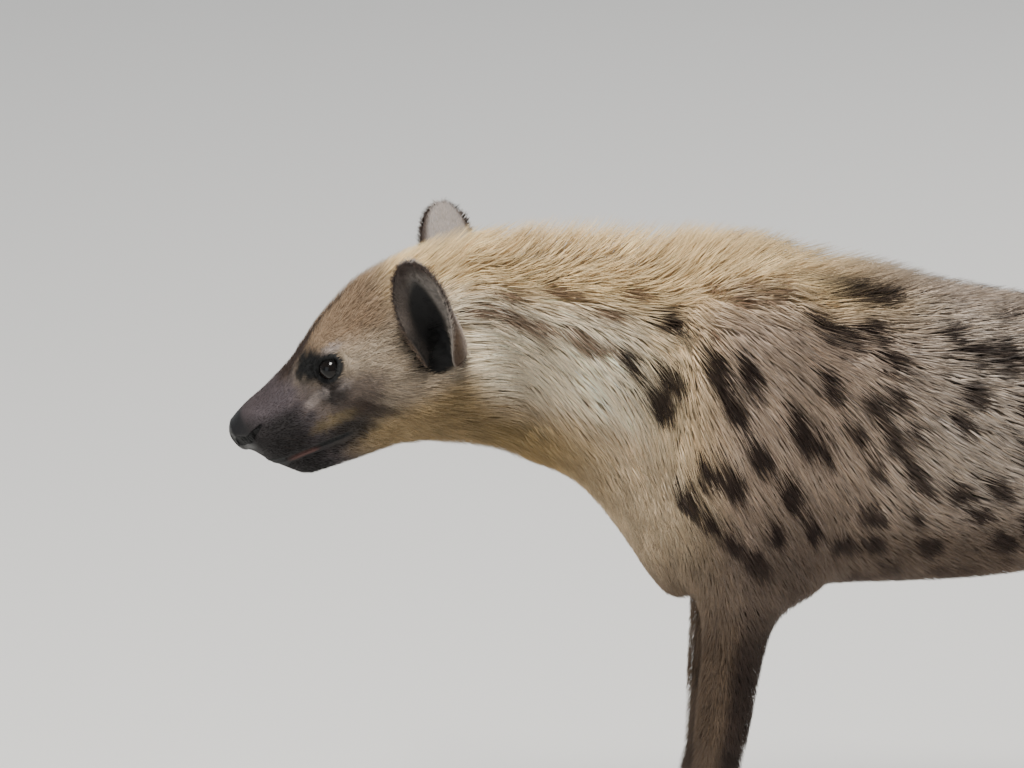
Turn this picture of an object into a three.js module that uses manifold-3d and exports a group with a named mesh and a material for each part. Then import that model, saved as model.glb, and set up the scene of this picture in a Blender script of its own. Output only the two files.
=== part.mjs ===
// A spotted hyena, life size, standing with its head low and forward.
// Millimetres, +Z up, floor at z = 0. The nose points to -X and the left side to -Y.
// The outer surface is the tips of the coat. Everything is placed in the animal's own
// frame, with x = 0 at the shoulder, and the whole is centred at the end.
import * as THREE from 'three';
import { mergeVertices } from 'three/addons/utils/BufferGeometryUtils.js';
import Module from 'manifold-3d';

const wasm = await Module();
wasm.setup();

// Driving dimensions, to the tips of the coat
const WITHERS = 806;
const CROUP = 690;
const CHEST_FLOOR = 436;
const TRUNK_LENGTH = 720;
const NECK_LENGTH = 300;
const HEAD_LENGTH = 302;
const HEAD_PITCH = THREE.MathUtils.degToRad(-30.3);
const HEAD_YAW = THREE.MathUtils.degToRad(6);
const EYE_RADIUS = 13;
const EAR_HEIGHT = 118;
const GAP = 0.35;
const LOCK_TRIM = 1.2;

const RAY_STEP = 12;
const BISECTIONS = 16;

const { clamp, lerp, smoothstep } = THREE.MathUtils;
const at = (x, y, z) => new THREE.Vector3(x, y, z);
const UP = at(0, 0, 1);
const FORWARD = at(-1, 0, 0);
const SPINE_HEIGHT = 640;
const NECK_SLOPE = 0.258;
const BACK_SLOPE = 0.056;
const LEFT = -1;
const RIGHT = 1;
const SIDES = [[LEFT, 'left'], [RIGHT, 'right']];

// A smooth length of body: stations along a straight axis, each with its share of the
// length and its reach towards `up`, away from it and to the side.
function loft({ from, to, up, stations, caps, square = 2 }) {
  const axis = to.clone().sub(from);
  const length = axis.length();
  axis.normalize();
  const upward = up.clone().addScaledVector(axis, -up.dot(axis)).normalize();
  const sideways = new THREE.Vector3().crossVectors(axis, upward);
  return { from, axis, length, upward, sideways, stations, caps, square };
}

function slopeAt(stations, i, column) {
  const before = stations[Math.max(i - 1, 0)];
  const after = stations[Math.min(i + 1, stations.length - 1)];
  return (after[column] - before[column]) / (after[0] - before[0]);
}

function reachAt(stations, share) {
  let i = 0;
  while (i < stations.length - 2 && share > stations[i + 1][0]) i += 1;
  const a = stations[i];
  const b = stations[i + 1];
  const span = b[0] - a[0];
  const t = clamp((share - a[0]) / span, 0, 1);
  const keepA = (1 + 2 * t) * (1 - t) * (1 - t);
  const keepB = t * t * (3 - 2 * t);
  const leanA = t * (1 - t) * (1 - t) * span;
  const leanB = -t * t * (1 - t) * span;
  return [1, 2, 3].map((column) => keepA * a[column] + keepB * b[column]
    + leanA * slopeAt(stations, i, column) + leanB * slopeAt(stations, i + 1, column));
}

// Height of a point over the loft's surface, negative inside
function heightOver(shape, point) {
  const offset = point.clone().sub(shape.from);
  const along = offset.dot(shape.axis);
  const held = clamp(along, 0, shape.length);
  const beyond = along - held;
  const rise = offset.dot(shape.upward);
  const aside = offset.dot(shape.sideways);
  const [upReach, downReach, sideReach] = reachAt(shape.stations, held / shape.length);
  const power = shape.square;
  const across = Math.abs(aside / sideReach) ** power;
  const tall = Math.abs(rise / (rise > 0 ? upReach : downReach)) ** power;
  const cap = beyond < 0 ? shape.caps[0] : shape.caps[1];
  const ratio = Math.hypot((across + tall) ** (1 / power), beyond / cap);
  const size = Math.hypot(rise, aside, beyond);
  return ratio < 1e-6 ? -Math.min(downReach, sideReach) : size * (1 - 1 / ratio);
}

function blend(a, b, width) {
  const overlap = Math.max(width - Math.abs(a - b), 0) / width;
  return Math.min(a, b) - overlap * overlap * width / 4;
}

// One field out of several lofts, each blended in with its own softness
function fieldOf(parts) {
  return (point) => {
    let height = heightOver(parts[0][0], point);
    for (const [shape, softness] of parts.slice(1)) {
      height = blend(height, heightOver(shape, point), softness);
    }
    return height;
  };
}

// The head's own frame: t along the face, v up from its axis, w towards the right
const HEAD_BASE = at(-265, 0, 735);
const headForward = at(-Math.cos(HEAD_PITCH) * Math.cos(HEAD_YAW),
  Math.cos(HEAD_PITCH) * Math.sin(HEAD_YAW), Math.sin(HEAD_PITCH));
const headRight = at(Math.sin(HEAD_YAW), Math.cos(HEAD_YAW), 0);
const headUp = new THREE.Vector3().crossVectors(headRight, headForward);
const headWay = (forward, up, right) => at(0, 0, 0).addScaledVector(headForward, forward)
  .addScaledVector(headUp, up).addScaledVector(headRight, right);
const onHead = (t, v, w = 0) => headWay(t, v, w).add(HEAD_BASE);

// Planes where the body is parted
const headNeckPlane = {
  centre: at(-246, 4, 706),
  facing: at(-0.995, 0.03, -0.1).normalize(),
  up: UP,
};
const neckTrunkPlane = {
  centre: at(-50, 0, 655),
  facing: at(-0.96, 0, 0.27).normalize(),
  up: UP,
};

// Trunk, neck and the masses of shoulder and thigh
const RUMP_X = 690;
const trunk = loft({
  from: at(RUMP_X, 0, 600),
  to: at(RUMP_X - TRUNK_LENGTH, 0, SPINE_HEIGHT),
  up: UP,
  square: 2.15,
  caps: [38, 60],
  stations: [
    [0.00, 66, 80, 76],
    [0.10, CROUP - 604, 112, 104],
    [0.25, 99, 142, 120],
    [0.42, 112, 168, 129],
    [0.58, 127, 186, 136],
    [0.75, 150, 630 - CHEST_FLOOR, 138],
    [0.90, 167, 636 - CHEST_FLOOR, 136],
    [1.00, WITHERS - SPINE_HEIGHT, 196, 128],
  ],
});

const neck = loft({
  from: at(0, 0, SPINE_HEIGHT),
  to: at(-0.968 * NECK_LENGTH, 0, SPINE_HEIGHT + 0.25 * NECK_LENGTH),
  up: UP,
  caps: [60, 30],
  stations: [
    [0.00, 150, 205, 126],
    [0.22, 159, 159, 115],
    [0.43, 163, 120, 103],
    [0.68, 149, 109, 95],
    [0.90, 128, 109, 93],
    [1.00, 113, 104, 90],
  ],
});

const shoulder = (side) => loft({
  from: at(15, side * 78, 745),
  to: at(42, side * 90, 470),
  up: FORWARD,
  caps: [50, 30],
  stations: [[0, 60, 70, 36], [0.35, 82, 86, 48], [0.7, 76, 70, 48], [1, 58, 60, 42]],
});

const thigh = (side) => loft({
  from: at(622, side * 66, 615),
  to: at(530, side * 84, 405),
  up: FORWARD,
  caps: [45, 28],
  stations: [[0, 92, 72, 46], [0.4, 100, 88, 50], [0.75, 72, 72, 45], [1, 50, 52, 38]],
});

// Head: skull and muzzle in one loft, with the jaw, lips and cheeks blended in
const HEAD_START = -30;
const skull = loft({
  from: onHead(HEAD_START, 0),
  to: onHead(HEAD_START + 0.967 * HEAD_LENGTH, 0),
  up: headUp,
  caps: [40, 9],
  stations: [
    [0.000, 84, 98, 85],
    [0.171, 93, 101, 93],
    [0.377, 91, 90, 93],
    [0.548, 74, 79, 72],
    [0.685, 53, 71, 53],
    [0.822, 39, 60, 44],
    [0.925, 31.5, 47, 40],
    [1.000, 24, 27, 31],
  ],
});

const jaw = loft({
  from: onHead(50, -63),
  to: onHead(238, -45),
  up: headUp,
  caps: [30, 16],
  stations: [[0, 24, 29, 48], [0.5, 22, 22, 36], [0.85, 18, 18, 29], [1, 15, 15, 24]],
});

const upperLip = (side) => loft({
  from: onHead(165, -22, side * 24),
  to: onHead(246, -7, side * 17),
  up: headUp,
  caps: [20, 11],
  stations: [[0, 22, 26, 24], [0.6, 20, 21, 22], [1, 15, 14, 17]],
});

const browRidge = (side) => loft({
  from: onHead(118, 46, side * 36),
  to: onHead(160, 38, side * 32),
  up: headUp,
  caps: [14, 14],
  stations: [[0, 20, 20, 20], [0.5, 18, 18, 20], [1, 13, 14, 15]],
});

const headParts = [
  [skull, 0],
  [jaw, 24],
  [upperLip(LEFT), 14],
  [upperLip(RIGHT), 14],
  [browRidge(LEFT), 16],
  [browRidge(RIGHT), 16],
];

const bodyField = fieldOf([
  [trunk, 0],
  [neck, 70],
  ...headParts.map(([shape, softness]) => [shape, softness || 36]),
  [shoulder(LEFT), 45],
  [shoulder(RIGHT), 45],
  [thigh(LEFT), 50],
  [thigh(RIGHT), 50],
]);

// Depth of the coat: longest on the crest of the neck, short under the body
const MANE_DEPTH = 54;
const SIDE_DEPTH = 26;
const RUMP_DEPTH = 18;
const BELLY_DEPTH = 11;
const CREST_WIDTH = 0.36;
const WITHERS_FALL = 0.62;
const BACK_FALL = 0.8;

function roundBody(point) {
  const axisHeight = SPINE_HEIGHT - point.x * (point.x < 0 ? NECK_SLOPE : BACK_SLOPE);
  return Math.atan2(Math.abs(point.y), point.z - axisHeight);
}

function coatDepth(point) {
  const round = roundBody(point);
  const rearward = smoothstep(point.x, 60, 600);
  const side = lerp(SIDE_DEPTH, RUMP_DEPTH, rearward);
  const ridge = (MANE_DEPTH - SIDE_DEPTH) * (1 - WITHERS_FALL * smoothstep(point.x, 0, 160))
    * (1 - BACK_FALL * smoothstep(point.x, 160, 560));
  const crest = Math.exp(-((round / CREST_WIDTH) ** 2));
  return lerp(side + ridge * crest, BELLY_DEPTH, smoothstep(round, 1.9, 2.5));
}

// The core under the locks lies half way into the coat, and runs out to the head's edge
const CORE_SHARE = 0.5;
const HEAD_EDGE_FADE = 34;

function coreInset(point) {
  const behindHead = headNeckPlane.centre.clone().sub(point).dot(headNeckPlane.facing);
  return CORE_SHARE * coatDepth(point) * smoothstep(behindHead, 0, HEAD_EDGE_FADE);
}

// Legs, each a chain of lofts from inside the trunk down to the foot
const CARPUS_HEIGHT = 197;
const HOCK_HEIGHT = 208;
const ANKLE_HEIGHT = 58;
const foreStep = (side) => (side === LEFT ? -8 : 12);

function forelegParts(side) {
  const step = foreStep(side);
  const elbow = at(22 + step / 4, side * 92, 520);
  const carpus = at(-10 + step, side * 84, CARPUS_HEIGHT);
  const ankle = at(-24 + step, side * 82, ANKLE_HEIGHT);
  const forearm = loft({
    from: elbow,
    to: carpus,
    up: FORWARD,
    caps: [40, 22],
    stations: [
      [0, 60, 60, 44], [0.18, 48, 50, 41], [0.37, 35, 37, 34],
      [0.62, 31, 32, 30], [0.83, 28, 28, 27], [1, 27, 27, 27],
    ],
  });
  const pastern = loft({
    from: carpus,
    to: ankle,
    up: FORWARD,
    caps: [18, 18],
    stations: [[0, 26, 27, 26], [0.4, 24, 25, 25], [0.8, 25, 26, 29], [1, 27, 27, 31]],
  });
  return { chain: [elbow, carpus, ankle], parts: [[forearm, 0], [pastern, 20]], ankle };
}

function hindlegParts(side) {
  const hip = at(600, side * 72, 560);
  const knee = at(530, side * 86, 408);
  const hock = at(641, side * 84, HOCK_HEIGHT);
  const ankle = at(614, side * 82, ANKLE_HEIGHT);
  const upper = loft({
    from: hip,
    to: knee,
    up: FORWARD,
    caps: [30, 28],
    stations: [[0, 80, 74, 44], [0.5, 66, 66, 44], [1, 50, 52, 40]],
  });
  const shank = loft({
    from: knee,
    to: hock,
    up: FORWARD,
    caps: [25, 18],
    stations: [[0, 50, 50, 38], [0.35, 40, 42, 34], [0.7, 27, 31, 25], [1, 21, 26, 21]],
  });
  const metatarsus = loft({
    from: hock,
    to: ankle,
    up: FORWARD,
    caps: [16, 15],
    stations: [[0, 22, 26, 22], [0.3, 20, 23, 21], [0.75, 21, 23, 25], [1, 24, 24, 29]],
  });
  return {
    chain: [hip, knee, hock, ankle],
    parts: [[upper, 0], [shank, 40], [metatarsus, 18]],
    ankle,
  };
}

// Meshes out of rings of points
function closedGeometry(rings, startPole, endPole) {
  const sides = rings[0].length;
  const points = [...rings.flat(), startPole, endPole];
  const start = points.length - 2;
  const end = points.length - 1;
  const last = (rings.length - 1) * sides;
  const index = [];
  for (let k = 0; k < sides; k += 1) {
    const next = (k + 1) % sides;
    index.push(start, next, k, end, last + k, last + next);
    for (let row = 0; row < last; row += sides) {
      index.push(row + k, row + next, row + sides + next);
      index.push(row + k, row + sides + next, row + sides + k);
    }
  }
  return facingOut(points, index);
}

function facingOut(points, index) {
  let volume = 0;
  for (let i = 0; i < index.length; i += 3) {
    const [a, b, c] = [points[index[i]], points[index[i + 1]], points[index[i + 2]]];
    volume += a.dot(new THREE.Vector3().crossVectors(b, c));
  }
  if (volume < 0) index.reverse();
  const geometry = new THREE.BufferGeometry().setFromPoints(points);
  geometry.setIndex(index);
  return geometry;
}

const middleOf = (ring) => ring.reduce((sum, point) => sum.add(point), at(0, 0, 0))
  .divideScalar(ring.length);

// The surface of a loft itself, with rounded ends
function loftGeometry(shape, ringCount, sides, capShares = [0.5, 0.88]) {
  const rings = [];
  const ringAt = (along, beyond, scale) => {
    const [upReach, downReach, sideReach] = reachAt(shape.stations, along / shape.length);
    const centre = shape.from.clone().addScaledVector(shape.axis, along + beyond);
    return Array.from({ length: sides }, (unused, k) => {
      const angle = 2 * Math.PI * (k + 0.5) / sides;
      const tall = Math.cos(angle);
      const wide = Math.sin(angle);
      const squash = (Math.abs(tall) ** shape.square + Math.abs(wide) ** shape.square)
        ** (-1 / shape.square) * scale;
      return centre.clone()
        .addScaledVector(shape.upward, tall * squash * (tall > 0 ? upReach : downReach))
        .addScaledVector(shape.sideways, wide * squash * sideReach);
    });
  };
  for (const share of [...capShares].reverse()) {
    rings.push(ringAt(0, -share * shape.caps[0], Math.sqrt(1 - share * share)));
  }
  for (let i = 0; i < ringCount; i += 1) {
    rings.push(ringAt(shape.length * i / (ringCount - 1), 0, 1));
  }
  for (const share of capShares) {
    rings.push(ringAt(shape.length, share * shape.caps[1], Math.sqrt(1 - share * share)));
  }
  const tip = (along) => shape.from.clone().addScaledVector(shape.axis, along);
  return closedGeometry(rings, tip(-shape.caps[0]), tip(shape.length + shape.caps[1]));
}

// Distance from a point along a direction to where the field, plus the inset, is zero
function castTo(field, from, direction, inset) {
  const over = (distance) => {
    const point = from.clone().addScaledVector(direction, distance);
    return field(point) + inset(point);
  };
  let far = RAY_STEP;
  while (over(far) < 0) far += RAY_STEP;
  let near = far - RAY_STEP;
  for (let i = 0; i < BISECTIONS; i += 1) {
    const middle = (near + far) / 2;
    if (over(middle) < 0) near = middle;
    else far = middle;
  }
  return far;
}

const noInset = () => 0;

function castPoint(field, from, direction, inset = noInset) {
  return from.clone().addScaledVector(direction, castTo(field, from, direction, inset));
}

// A ring of surface points in the plane through `centre` that faces `facing`
function castRing(field, { centre, facing, up }, sides, inset = noInset) {
  const upward = up.clone().addScaledVector(facing, -up.dot(facing)).normalize();
  const sideways = new THREE.Vector3().crossVectors(facing, upward);
  return Array.from({ length: sides }, (unused, k) => {
    const angle = 2 * Math.PI * k / sides;
    const direction = upward.clone().multiplyScalar(Math.cos(angle))
      .addScaledVector(sideways, Math.sin(angle));
    return castPoint(field, centre, direction, inset);
  });
}

// Ring planes evenly between two given ones
function planesBetween(first, last, count) {
  return Array.from({ length: count }, (unused, i) => {
    const share = i / (count - 1);
    return {
      centre: first.centre.clone().lerp(last.centre, share),
      facing: first.facing.clone().lerp(last.facing, share).normalize(),
      up: first.up.clone().lerp(last.up, share).normalize(),
    };
  });
}

// Solids
function solidOf(geometry) {
  const bare = geometry.clone();
  bare.deleteAttribute('normal');
  bare.deleteAttribute('uv');
  const merged = mergeVertices(bare, 1e-4);
  return new wasm.Manifold(new wasm.Mesh({
    numProp: 3,
    vertProperties: new Float32Array(merged.attributes.position.array),
    triVerts: new Uint32Array(merged.index.array),
  }));
}

function geometryOf(solid) {
  const mesh = solid.getMesh();
  const geometry = new THREE.BufferGeometry();
  geometry.setAttribute('position', new THREE.BufferAttribute(mesh.vertProperties, 3));
  geometry.setIndex(new THREE.BufferAttribute(mesh.triVerts, 1));
  return geometry;
}

function largest(solid) {
  const pieces = solid.decompose();
  return pieces.reduce((a, b) => (a.volume() > b.volume() ? a : b));
}

const fused = (geometries) => geometries.map(solidOf).reduce((a, b) => a.add(b));

// The same surface moved out along its normals, for the gap between two nodes
function inflated(geometry, distance = GAP) {
  const grown = mergeVertices(geometry.clone(), 1e-4);
  grown.deleteAttribute('normal');
  grown.computeVertexNormals();
  const { position, normal } = grown.attributes;
  for (let i = 0; i < position.count; i += 1) {
    position.setXYZ(i, position.getX(i) + distance * normal.getX(i),
      position.getY(i) + distance * normal.getY(i),
      position.getZ(i) + distance * normal.getZ(i));
  }
  grown.deleteAttribute('normal');
  return grown;
}

const AWAY = 3000;

function aboveFloor() {
  const box = new THREE.BoxGeometry(AWAY, AWAY, AWAY);
  return box.translate(0, 0, AWAY / 2);
}

const BODY_SIDES = 28;
const LEG_SIDES = 12;

function stepAside(plane, distance) {
  return { ...plane, centre: plane.centre.clone().addScaledVector(plane.facing, distance) };
}

// Trunk, neck and head shells; `grow` moves the whole surface out, to clear a neighbour
function trunkGeometry(grow = 0) {
  const rear = { centre: at(RUMP_X - 10, 0, 612), facing: FORWARD, up: UP };
  const barrel = { centre: at(150, 0, 620), facing: FORWARD, up: UP };
  const front = stepAside(neckTrunkPlane, grow - GAP / 2);
  const planes = [
    ...planesBetween(rear, barrel, 18).slice(0, -1),
    ...planesBetween(barrel, front, 7),
  ];
  const outward = (point) => coreInset(point) - grow;
  const rings = planes.map((plane) => castRing(bodyField, plane, BODY_SIDES, outward));
  const tailEnd = castPoint(bodyField, rear.centre, at(1, 0, 0), outward);
  return closedGeometry(rings, tailEnd, front.centre);
}

function neckGeometry(grow = 0) {
  const rear = stepAside(neckTrunkPlane, GAP / 2 - grow);
  const front = stepAside(headNeckPlane, grow - GAP / 2);
  const outward = (point) => coreInset(point) - grow;
  const rings = planesBetween(rear, front, 9)
    .map((plane) => castRing(bodyField, plane, BODY_SIDES, outward));
  return closedGeometry(rings, rear.centre, front.centre);
}

function headShell(grow = 0) {
  const rear = stepAside(headNeckPlane, GAP / 2 - grow);
  const poll = { centre: onHead(48, -8), facing: headForward, up: headUp };
  const nose = { centre: onHead(262, -8), facing: headForward, up: headUp };
  const planes = [...planesBetween(rear, poll, 5).slice(0, -1), ...planesBetween(poll, nose, 18)];
  const outward = () => -grow;
  const rings = planes.map((plane) => castRing(bodyField, plane, BODY_SIDES, outward));
  const tip = castPoint(bodyField, nose.centre, headForward, outward);
  return closedGeometry(rings, rear.centre, tip);
}

// Eyes: a ball in its socket, with a raised rim of lids
const EYE_SET = 0.8 * EYE_RADIUS;

function eyeCentre(side) {
  const inside = onHead(136, 32, 0);
  const outward = headRight.clone().multiplyScalar(side);
  const surface = castTo(bodyField, inside, outward, noInset);
  return inside.addScaledVector(outward, surface - EYE_SET);
}

const eyeFacing = (side) => headWay(0.33, 0.2, 0.92 * side).normalize();

const eyeGeometry = (centre, radius) => new THREE.SphereGeometry(radius, 16, 10)
  .translate(centre.x, centre.y, centre.z);

const LID_THICKNESS = 3;
const LID_HALF_LENGTH = 0.98 * EYE_RADIUS;
const LID_HALF_HEIGHT = 0.74 * EYE_RADIUS;
const LID_CLEARANCE = 0.6;
const LID_LOWEST = 7.5;
const LID_STEPS = 16;
const LID_SIDES = 5;

function lidGeometry(side) {
  const centre = eyeCentre(side);
  const facing = eyeFacing(side);
  const length = headForward.clone().addScaledVector(facing, -headForward.dot(facing)).normalize();
  const height = new THREE.Vector3().crossVectors(facing, length).multiplyScalar(-side);
  const path = new THREE.Curve();
  path.getPoint = (share) => {
    const angle = 2 * Math.PI * share;
    const across = length.clone().multiplyScalar(Math.cos(angle) * LID_HALF_LENGTH)
      .addScaledVector(height, Math.sin(angle) * LID_HALF_HEIGHT);
    const lift = Math.sqrt(Math.max((EYE_RADIUS + LID_CLEARANCE) ** 2 - across.lengthSq(), 1));
    return centre.clone().add(across).addScaledVector(facing, Math.max(lift, LID_LOWEST));
  };
  const rings = [];
  for (let i = 0; i < LID_STEPS; i += 1) {
    const point = path.getPoint(i / LID_STEPS);
    const outward = point.clone().sub(centre).addScaledVector(facing,
      -point.clone().sub(centre).dot(facing)).normalize();
    rings.push(Array.from({ length: LID_SIDES }, (unused, k) => {
      const angle = 2 * Math.PI * k / LID_SIDES;
      return point.clone().addScaledVector(outward, (1 + Math.cos(angle)) * LID_THICKNESS)
        .addScaledVector(facing, (Math.sin(angle) - 0.6) * LID_THICKNESS);
    }));
  }
  return torusGeometry(rings);
}

function torusGeometry(rings) {
  const sides = rings[0].length;
  const index = [];
  for (let i = 0; i < rings.length; i += 1) {
    const row = i * sides;
    const after = ((i + 1) % rings.length) * sides;
    for (let k = 0; k < sides; k += 1) {
      const next = (k + 1) % sides;
      index.push(row + k, row + next, after + next, row + k, after + next, after + k);
    }
  }
  return facingOut(rings.flat(), index);
}

// Ears: a rounded cup with the same triangles on both faces
const EAR_ROWS = 8;
const EAR_COLUMNS = 9;
const EAR_WALL = 5;
const EAR_HALF_WIDTH = 33;
const EAR_ASIDE = 88;
const EAR_FOOT = 4;
const EAR_ROOM = 1;
const EAR_PLACE = {
  [LEFT]: { along: 24, up: -1, lean: -0.2 },
  [RIGHT]: { along: 12, up: -18, lean: -0.28 },
};

function earFrame(side) {
  const place = EAR_PLACE[side];
  const base = onHead(place.along, place.up, side * EAR_ASIDE);
  const up = headWay(place.lean, 0.88, 0.3 * side).normalize();
  const open = headWay(0.45, -0.1, 0.85 * side);
  open.addScaledVector(up, -open.dot(up)).normalize();
  const across = new THREE.Vector3().crossVectors(up, open).multiplyScalar(side);
  return { base, up, open, across };
}

// How far round the ear's axis its wall reaches to each side, in radians
const EAR_WRAP_LOW = 2.1;
const EAR_WRAP_HIGH = 0.8;

function earPoint(frame, rowShare, columnShare, wall) {
  const rounding = Math.sqrt(Math.max(1 - rowShare ** 4, 0.012));
  const halfWidth = EAR_HALF_WIDTH * (0.72 + 0.72 * rowShare - 0.42 * rowShare ** 2) * rounding;
  const wrap = lerp(EAR_WRAP_LOW, EAR_WRAP_HIGH, smoothstep(rowShare, 0, 0.8));
  const radius = halfWidth / Math.sin(Math.min(wrap, Math.PI / 2));
  const angle = wrap * columnShare;
  const hollow = radius * (1 - Math.cos(angle)) - 0.45 * radius * (1 - Math.cos(wrap));
  return frame.base.clone()
    .addScaledVector(frame.up, rowShare * EAR_HEIGHT - EAR_FOOT)
    .addScaledVector(frame.across, Math.sin(angle) * (radius + wall))
    .addScaledVector(frame.open, hollow - wall * Math.cos(angle));
}

function earGeometry(side) {
  const frame = earFrame(side);
  const rings = [];
  for (let row = 0; row <= EAR_ROWS; row += 1) {
    const share = Math.sin(row / EAR_ROWS * Math.PI / 2);
    const wall = EAR_WALL * (1 - 0.45 * share);
    const inner = [];
    const outer = [];
    for (let column = 0; column <= EAR_COLUMNS; column += 1) {
      const place = 2 * column / EAR_COLUMNS - 1;
      inner.push(earPoint(frame, share, place, 0));
      outer.push(earPoint(frame, share, place, wall));
    }
    rings.push([...inner, ...outer.reverse()]);
  }
  return sheetGeometry(rings);
}

// A folded sheet: the first half of each ring is one face, the other half the other face
function sheetGeometry(rings) {
  const sides = rings[0].length;
  const half = sides / 2;
  const index = [];
  const quad = (a, b, c, d) => index.push(a, b, c, a, c, d);
  for (let row = 0; row < rings.length - 1; row += 1) {
    const low = row * sides;
    const high = low + sides;
    for (let k = 0; k < half - 1; k += 1) {
      quad(low + k, low + k + 1, high + k + 1, high + k);
      const back = sides - 1 - k;
      quad(low + back - 1, low + back, high + back, high + back - 1);
    }
    quad(low + half - 1, low + half, high + half, high + half - 1);
    quad(low + sides - 1, low, high, high + sides - 1);
  }
  const top = (rings.length - 1) * sides;
  for (let k = 0; k < half - 1; k += 1) {
    const back = sides - 1 - k;
    quad(k, back, back - 1, k + 1);
    quad(top + k, top + k + 1, top + back - 1, top + back);
  }
  return facingOut(rings.flat(), index);
}

// Nose leather with its two nostrils
const nosePad = loft({
  from: onHead(238, 8),
  to: onHead(264, 5),
  up: headUp,
  caps: [8, 8],
  square: 2.4,
  stations: [[0, 20, 20, 23], [0.6, 19, 22, 24], [1, 14, 17, 20]],
});

const nostril = (side) => loft({
  from: onHead(266, 2, side * 9),
  to: onHead(246, -2, side * 25),
  up: headUp,
  caps: [7, 5],
  stations: [[0, 5, 6, 5], [0.5, 4.5, 5, 5], [1, 2, 2.5, 3]],
});

// The line of the mouth as seen from the side, in the head's frame
const MOUTH_FRONT = [290, -23];
const MOUTH_BEND = [205, -32.5];
const MOUTH_CORNER = [148, -38];
const JAW_BACK = [128, -62];
const LIP_OPENING = 2.2;

function jawBlock(spread, opening) {
  const outline = new THREE.Shape();
  outline.moveTo(MOUTH_FRONT[0], MOUTH_FRONT[1] + spread + opening);
  outline.quadraticCurveTo(MOUTH_BEND[0], MOUTH_BEND[1] + spread + opening,
    MOUTH_CORNER[0] - spread, MOUTH_CORNER[1] + spread);
  outline.lineTo(JAW_BACK[0] - spread, JAW_BACK[1]);
  outline.lineTo(JAW_BACK[0] - spread, -AWAY / 10);
  outline.lineTo(MOUTH_FRONT[0], -AWAY / 10);
  const block = new THREE.ExtrudeGeometry(outline, {
    depth: AWAY / 10,
    bevelEnabled: false,
    curveSegments: 7,
  });
  block.translate(0, 0, -AWAY / 20);
  const frame = new THREE.Matrix4().makeBasis(headForward, headUp,
    new THREE.Vector3().crossVectors(headForward, headUp));
  frame.setPosition(HEAD_BASE);
  return block.applyMatrix4(frame);
}

// Feet
const TOE_SPREAD = [-27, -9.5, 9.5, 27];
const TOE_REACH = [0, 12, 12, 0];
const BLUNT_END = [0.7];

function pawGeometries(ankle, scale) {
  const size = (value) => value * scale;
  const flat = (share) => ankle.clone().add(at(size(share[0]), size(share[1]), 0))
    .setZ(size(share[2]));
  const palm = loft({
    from: flat([16, 0, 34]),
    to: flat([-32, 0, 25]),
    up: UP,
    caps: [size(14), size(14)],
    stations: [[0, 26, 36, 29], [0.5, 26, 34, 35], [1, 18, 29, 37]]
      .map(([share, ...reach]) => [share, ...reach.map(size)]),
  });
  const hub = loft({
    from: ankle.clone().setZ(ANKLE_HEIGHT - 8),
    to: flat([-4, 0, 30]),
    up: FORWARD,
    caps: [size(10), size(10)],
    stations: [[0, 27, 27, 28], [1, 30, 26, 31]].map(([share, ...reach]) => [share, ...reach.map(size)]),
  });
  const shapes = [loftGeometry(palm, 3, 10, BLUNT_END), loftGeometry(hub, 2, 8, BLUNT_END)];
  TOE_SPREAD.forEach((aside, i) => {
    const toe = loft({
      from: flat([-30, aside * 0.82, 25]),
      to: flat([-58 - TOE_REACH[i], aside * 1.08, 13]),
      up: UP,
      caps: [size(10), size(10)],
      stations: [[0, 15, 20, 11], [0.55, 15, 18, 11.5], [1, 10, 14, 9.5]]
        .map(([share, ...reach]) => [share, ...reach.map(size)]),
    });
    const claw = loft({
      from: flat([-62 - TOE_REACH[i], aside * 1.1, 15]),
      to: flat([-80 - TOE_REACH[i], aside * 1.16, 7]),
      up: UP,
      caps: [size(3), size(2)],
      stations: [[0, 4.5, 4.5, 3.6], [0.5, 3.6, 3.6, 3], [1, 1.4, 1.4, 1.3]]
        .map(([share, ...reach]) => [share, ...reach.map(size)]),
    });
    shapes.push(loftGeometry(toe, 3, 7, BLUNT_END), loftGeometry(claw, 2, 4, []));
  });
  return shapes;
}

const pawSolid = (ankle, scale) => largest(fused(pawGeometries(ankle, scale))
  .intersect(solidOf(aboveFloor())));

// A leg from ring planes along its chain of joints
function legGeometry({ chain, parts }, ringsPerBone, sides, grow = 0) {
  const field = fieldOf(parts);
  const outward = () => -grow;
  const stops = chain.map((centre, i) => {
    const before = chain[Math.max(i - 1, 0)];
    const after = chain[Math.min(i + 1, chain.length - 1)];
    return { centre, facing: after.clone().sub(before).normalize(), up: FORWARD };
  });
  const planes = [];
  for (let i = 0; i < stops.length - 1; i += 1) {
    planes.push(...planesBetween(stops[i], stops[i + 1], ringsPerBone[i]).slice(0, -1));
  }
  planes.push(stops[stops.length - 1]);
  const rings = planes.map((plane) => castRing(field, plane, sides, outward));
  const first = planes[0];
  const last = planes[planes.length - 1];
  return closedGeometry(rings,
    castPoint(field, first.centre, first.facing.clone().negate(), outward),
    castPoint(field, last.centre, last.facing, outward));
}

// Tail: a tapering dock that carries the brush
const dock = loft({
  from: at(700, 0, 640),
  to: at(730, 0, 412),
  up: at(1, 0, 0),
  caps: [16, 22],
  stations: [[0, 24, 24, 25], [0.3, 19, 19, 20], [0.65, 17, 16, 17], [1, 10, 10, 11]],
});

const TAIL_ROOM = 7;

// Locks: flat tapered blades that bend over the core along the lie of the coat
const LOCK_STATIONS = [
  { along: 0, wide: 0.75, high: -0.2 },
  { along: 0.42, wide: 1, high: 0.82 },
  { along: 0.78, wide: 0.72, high: 1 },
];
const LOCK_ROOT = 9;
const LOCK_THICKNESS = 0.085;
const SLOPE_STEP = 1;

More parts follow.
